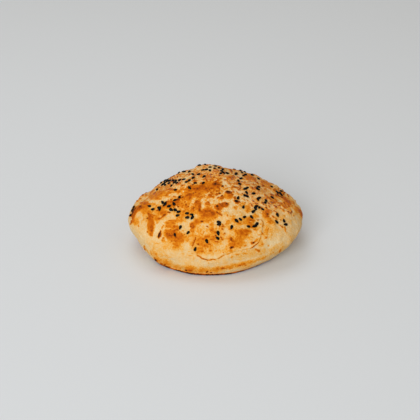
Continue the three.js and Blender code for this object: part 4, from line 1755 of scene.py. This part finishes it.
@dataclass(frozen=True)
class SesameSeeds:
    """The black seeds, baked into the crust: the ones in view one by one, the others thrown in pinches."""

    form: LoafForm
    view: PictureView
    finish: BlackSesame = BlackSesame()
    length: float = 3.7
    width: float = 2.25
    thickness: float = 1.5
    stand: float = 0.42
    taper: float = 0.30
    spread: float = 0.14
    spacing: float = 1.9
    tries: int = 40
    throw_seed: int = 20
    lay_seed: int = 21
    sides: int = 10
    rings: int = 6
    most_stretch: float = 1.1
    # seeds low on the picture show larger than those high up: pixel rows, and the share there
    rows: tuple[float, ...] = (165, 190, 212, 226)
    row_sizes: tuple[float, ...] = (0.93, 1.0, 1.02, 1.12)
    out_of_view: float = 0.06
    back_count: int = 7
    back_bearing: tuple[float, float] = (45, 150)
    back_reach: tuple[float, float] = (0.2, 0.72)
    back_radius: float = 9.0
    back_seeds: int = 4
    # the pinches that the solid's seeds are thrown in
    pinches: tuple[Pinch, ...] = table(
        Pinch,
        (110, 0.12, 8, 3), (90, 0.03, 7, 4), (-167, 0.10, 7, 3), (-151, 0.175, 6, 4), (-125, 0.18, 12, 4),
        (-168, 0.21, 7, 3), (165, 0.16, 8, 3), (-173, 0.28, 6, 6), (174, 0.37, 8, 8), (-164, 0.32, 6, 2),
        (174, 0.45, 9, 3), (-140, 0.415, 7, 4), (-147, 0.515, 6, 4), (-157, 0.60, 8, 5),
        (-129, 0.545, 8, 5), (-110, 0.555, 5, 4), (-115, 0.73, 9, 3), (-98, 0.855, 9, 2),
        (-173, 0.80, 6, 5), (48, 0.09, 8, 5), (-6, 0.11, 7, 5), (12, 0.27, 9, 4), (30, 0.36, 10, 4),
        (-13, 0.255, 6, 4), (-23, 0.33, 5, 3), (-35, 0.38, 7, 4), (-10, 0.415, 5, 3), (-55, 0.375, 6, 4),
        (-33, 0.465, 5, 4), (-28, 0.515, 5, 4), (5, 0.61, 9, 6), (-18, 0.545, 4, 2), (-42, 0.54, 7, 6),
        (-54, 0.54, 8, 3), (-64, 0.60, 7, 3), (-81, 0.66, 9, 3), (-85, 0.75, 6, 2), (-56, 0.67, 6, 5),
        (-31, 0.73, 9, 4),
    )
    # the seeds that the picture shows
    in_view: tuple[SeedMark, ...] = table(
        SeedMark,
        # on the crown
        (199.2, 165.6, 15), (205.2, 164.9, -50), (203, 170.3, 10), (206.2, 169.9, 20), (210, 170.7, -60),
        (210, 167.5, 0), (215.3, 166.4, 0), (214.7, 168.6, -10), (219, 168.2, 10), (222.6, 169.6, -15),
        (221.5, 171.4, -20), (223.4, 172.9, -50), (220.8, 173.5, 20), (227.2, 173.4, -15), (236, 174, 40),
        # down the left slope
        (192.8, 174.4, -30), (198.6, 174.5, 15), (204, 176.8, 35), (193.3, 178, 30), (183.8, 179.6, 12),
        (179.8, 180, 30), (184, 172, 5), (189.2, 172, 40), (189, 180.8, 40), (186.5, 182.2, 10),
        (195.3, 183.2, 0), (203.2, 183.3, 45), (189.6, 188, -45), (175.3, 190, 5), (171.5, 186, 60),
        (157.3, 189.7, -35), (161.4, 182.9, 45), (162.5, 185, 30), (164.7, 183.2, 35), (166.8, 182, 10),
        (167.4, 180.3, 25), (170, 180.9, 15), (169, 183.5, 15), (165.2, 185.2, -30), (173.2, 180.8, -30),
        (174, 182.9, 60), (176, 181, -50), (176.9, 183.2, 35), (165.2, 181, 40), (168.6, 181.4, 25),
        (175.2, 182.3, -30), (163.8, 184.2, 20),
        # across the left
        (179.5, 197.4, 80), (175, 200.4, 10), (174, 204, -55), (162.7, 202.5, -50), (165.5, 203.6, 70),
        (164.6, 205.2, 20), (169, 206.3, 10), (149.5, 206.3, -10), (159.2, 207.6, 15), (159.7, 209.2, 85),
        (152.8, 209.5, 5), (171.3, 209.8, -30), (175.5, 210.1, -30), (178.8, 211.8, 15), (177.8, 215.5, 15),
        (187, 213.3, 0), (191.6, 214.6, -10), (187.2, 217.4, 5), (192.2, 217.7, 50), (133.9, 207.7, 65),
        (132.6, 210.6, 60), (130.6, 215.6, 75),
        # down the right slope
        (240.2, 170.9, 80), (241.8, 172.8, -35), (243.5, 175.8, 10), (245.6, 174.8, 20), (252, 175.2, -40),
        (240.8, 178.7, 10), (238.2, 181, -60), (239.7, 184, -25), (258.3, 178.8, -20), (247.2, 187.9, 10),
        (244.9, 189.1, 15), (258.7, 187.2, -5), (256.7, 188.5, 55), (258.2, 189.6, -10),
        (246.5, 192.9, -60), (253.3, 193.7, 10), (244.6, 195.5, -20), (247, 196.5, -28),
        (271.5, 186.9, -20), (276.8, 192.3, -50), (281.3, 191.5, -10), (279.8, 193.2, -50),
        (281.3, 195, -50), (271.9, 197.6, -30), (259.1, 198.2, 15), (257.7, 199.7, -60),
        (265.9, 200.7, -35), (265.2, 202.7, 35), (238, 198, 75), (236.3, 201.2, -15), (243.3, 207.1, 72),
        (256.2, 206.5, 25), (255.2, 208.7, -40), (259.2, 207.6, -20), (262.5, 209.4, -25),
        (253.4, 211.5, 35), (277.5, 215, -65), (276.5, 222, -50), (283.8, 221, -70), (285.4, 224.6, 0),
        # over the front
        (244.4, 217.2, 20), (251.4, 217.3, -50), (240.2, 219.4, -40), (236.6, 220.9, -45),
        (219, 222.2, -10), (219, 224.4, 10), (231.6, 227.3, 75), (218.2, 233.2, -75), (217.5, 238.2, -35),
        (248.3, 226.5, -15), (253.8, 226.5, 8), (255, 225.8, 4), (256.6, 224.3, 50), (180.3, 227.5, 70),
        (188, 232.8, 45), (175, 235, -75), (206.8, 241.3, -65), (195.3, 249, 70),
    )

    def lay_in_view(self, crust: bpy.types.Object) -> list[Seed]:
        """Lays the seeds that the picture shows on the crust.

        Args:
            crust: the finished crust.

        Returns:
            The seeds.
        """
        draw = SeededDraw(self.lay_seed)
        right, up, forward = self.view.axes()
        stand = self.view.stand()
        middle = self.view.pixels / 2.0
        seeds: list[Seed] = []
        for mark in self.in_view:
            aside = (mark.x - middle) * self.view.mm_per_pixel
            above = (middle - mark.y) * self.view.mm_per_pixel
            ray = forward * self.view.distance + right * aside + up * above
            ray /= np.linalg.norm(ray)
            hit, place, normal, _ = crust.ray_cast(Vector(stand * MM), Vector(ray))
            size = 1.0 + self.spread * (2.0 * draw() - 1.0)
            turned = math.radians(mark.tilt + (180.0 if draw() < 0.5 else 0.0))
            if not hit:
                log.warning("a seed at %.1f, %.1f misses the crust", mark.x, mark.y)
                continue
            facing = np.array(normal)
            flat = right * math.cos(turned) + up * math.sin(turned)
            along = flat - ray * (flat.dot(facing) / ray.dot(facing))
            foreshortened = np.linalg.norm(along)
            size *= min(foreshortened, self.most_stretch) * np.interp(mark.y, self.rows, self.row_sizes)
            seeds.append(Seed(np.array(place) / MM, facing, along / foreshortened, size))
        return seeds

    def throw_others(self, crust: bpy.types.Object) -> list[Seed]:
        """Throws pinches of seeds as the solid's are thrown, and keeps the ones out of the picture's view.

        Args:
            crust: the finished crust.

        Returns:
            The seeds.
        """
        draw = SeededDraw(self.throw_seed)
        thrown: list[Thrown] = []
        for pinch in self.pinches:
            self.throw(pinch, draw, thrown)
        for index in range(self.back_count):
            share = (index + draw()) / self.back_count
            first, last = self.back_bearing
            bearing = first + (last - first) * share
            reach = draw.between(*self.back_reach)
            self.throw(Pinch(bearing, reach, self.back_radius, self.back_seeds), draw, thrown)
        seeds: list[Seed] = []
        for spot, heading, size in thrown:
            if self.view.facing(spot.point[None], spot.normal[None])[0] > self.out_of_view:
                continue
            _, place, normal, _ = crust.closest_point_on_mesh(Vector(spot.point * MM))
            facing = np.array(normal)
            across = spot.slope_a - facing * spot.slope_a.dot(facing)
            across /= np.linalg.norm(across)
            along = np.cross(facing, across)
            turned = along * math.cos(heading) - across * math.sin(heading)
            seeds.append(Seed(np.array(place) / MM, facing, turned, size))
        return seeds

    def throw(self, pinch: Pinch, draw: SeededDraw, thrown: list[Thrown]) -> None:
        """Throws one pinch of seeds, none too close to another.

        Args:
            pinch: where it lands, and how many seeds it holds.
            draw: the repeatable numbers.
            thrown: the seeds thrown so far, which the new ones join.
        """
        home = self.form.direction(pinch.bearing, pinch.reach)
        patch = self.form.patch(home)
        left = pinch.count
        for _ in range(self.tries):
            if left == 0:
                break
            away = pinch.radius * math.sqrt(draw())
            turn = 2.0 * math.pi * draw()
            heading = 2.0 * math.pi * draw()
            size = 1.0 + self.spread * (2.0 * draw() - 1.0)
            step_a = patch.step_a * (away * math.cos(turn) / np.linalg.norm(patch.slope_a))
            step_b = patch.step_b * (away * math.sin(turn) / np.linalg.norm(patch.slope_b))
            direction = home + step_a + step_b
            spot = self.form.patch(direction / np.linalg.norm(direction))
            if all(np.linalg.norm(other.spot.point - spot.point) >= self.spacing for other in thrown):
                thrown.append(Thrown(spot, heading, size))
                left -= 1

    def pattern_seed(self) -> tuple[np.ndarray, list[tuple[int, ...]]]:
        """Models one seed, a drop that narrows to one end, lying along Y.

        Returns:
            The seed's points in millimetres, and its faces.
        """
        bpy.ops.object.select_all(action="DESELECT")
        bpy.ops.mesh.primitive_uv_sphere_add(segments=self.sides, ring_count=self.rings, radius=1.0)
        seed = bpy.context.object
        ball = np.array([vertex.co[:] for vertex in seed.data.vertices])
        faces = [tuple(face.vertices) for face in seed.data.polygons]
        bpy.data.objects.remove(seed, do_unlink=True)
        along = ball[:, 2]
        narrow = 1.0 - self.taper * along
        points = np.stack([
            ball[:, 1] * narrow * self.width / 2.0,
            along * self.length / 2.0,
            ball[:, 0] * self.thickness / 2.0,
        ], axis=1)
        return points, faces

    def build(self, crust: bpy.types.Object) -> bpy.types.Object:
        """Lays every seed on the crust, as one mesh.

        Args:
            crust: the finished crust.

        Returns:
            The seeds' object, at the origin.
        """
        pattern, pattern_faces = self.pattern_seed()
        points: list[np.ndarray] = []
        faces: list[tuple[int, ...]] = []
        for seed in self.lay_in_view(crust) + self.throw_others(crust):
            frame = np.array([np.cross(seed.along, seed.normal), seed.along, seed.normal])
            first = len(points) * len(pattern)
            points.append(seed.place + seed.normal * self.stand + pattern @ frame * seed.size)
            faces.extend(tuple(first + corner for corner in face) for face in pattern_faces)
        mesh = bpy.data.meshes.new("sesame_seeds")
        mesh.from_pydata((np.vstack(points) * MM).tolist(), [], faces)
        mesh.validate()
        mesh.shade_smooth()
        seeds = bpy.data.objects.new("sesame_seeds", mesh)
        bpy.context.collection.objects.link(seeds)
        mesh.materials.append(self.finish.material())
        return seeds


@dataclass(frozen=True)
class Studio:
    """The pale floor, the soft lights and the camera at the photograph's viewing angle."""

    view: PictureView
    floor_finish: StudioFloor = StudioFloor()
    floor_size: float = 6.0
    sensor_mm: float = 36.0
    aim: tuple[float, float, float] = (0.0, 0.0, 0.03)
    room_colour: str = "#FFF4E6"
    room_strength: float = 0.45
    softboxes: tuple[Softbox, ...] = (
        Softbox("key_softbox", (-0.8, -2.3, 1.28), 1.4, 45.0),
        Softbox("top_fill", (-0.3, 0.3, 1.3), 0.9, 4.0),
    )

    def build(self) -> None:
        """Makes the floor, lights and camera."""
        self.lay_floor()
        for softbox in self.softboxes:
            self.hang_light(softbox)
        self.light_room()
        self.aim_camera()

    def lay_floor(self) -> None:
        """Lays the floor as a large plane, which isn't part of the bread."""
        bpy.ops.object.select_all(action="DESELECT")
        bpy.ops.mesh.primitive_plane_add(size=self.floor_size)
        floor = bpy.context.object
        floor.name = "studio_floor"
        floor.data.materials.append(self.floor_finish.material())

    def hang_light(self, softbox: Softbox) -> None:
        """Hangs a square softbox that faces the bread.

        Args:
            softbox: the light, its place and its power.
        """
        light = bpy.data.lights.new(softbox.name, "AREA")
        light.size = softbox.side
        light.energy = softbox.power
        box = bpy.data.objects.new(softbox.name, light)
        box.location = softbox.place
        box.rotation_euler = (Vector(self.aim) - Vector(softbox.place)).to_track_quat("-Z", "Y").to_euler()
        bpy.context.collection.objects.link(box)

    def light_room(self) -> None:
        """Fills the room with even light."""
        world = bpy.data.worlds.new("studio_room")
        world.use_nodes = True
        background = world.node_tree.nodes["Background"]
        background.inputs["Color"].default_value = to_linear(self.room_colour)
        background.inputs["Strength"].default_value = self.room_strength
        scene = bpy.context.scene
        scene.world = world
        scene.view_settings.view_transform = "Standard"

    def aim_camera(self) -> None:
        """Puts the camera where the picture's view is taken from."""
        _, _, forward = self.view.axes()
        camera = bpy.data.cameras.new("photo_camera")
        camera.sensor_width = self.sensor_mm
        camera.lens = self.sensor_mm * self.view.distance / (self.view.pixels * self.view.mm_per_pixel)
        stand = bpy.data.objects.new("photo_camera", camera)
        stand.location = self.view.stand() * MM
        stand.rotation_euler = Vector(forward).to_track_quat("-Z", "Y").to_euler()
        bpy.context.collection.objects.link(stand)
        bpy.context.scene.camera = stand


def main() -> None:
    """Loads the solid, dresses it as bread and sets up the studio."""
    logging.basicConfig(level=logging.INFO, format="%(name)s: %(message)s")
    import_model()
    form = LoafForm()
    view = PictureView()
    crust = Crust(form, Oven(form, view)).build()
    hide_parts("lavash")
    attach(crust, "root")
    log.info("crust: %d faces", len(crust.data.polygons))
    seeds = SesameSeeds(form, view).build(crust)
    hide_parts("lavash")
    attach(seeds, "root")
    log.info("seeds: %d faces", len(seeds.data.polygons))
    Studio(view).build()


if __name__ == "__main__":
    main()
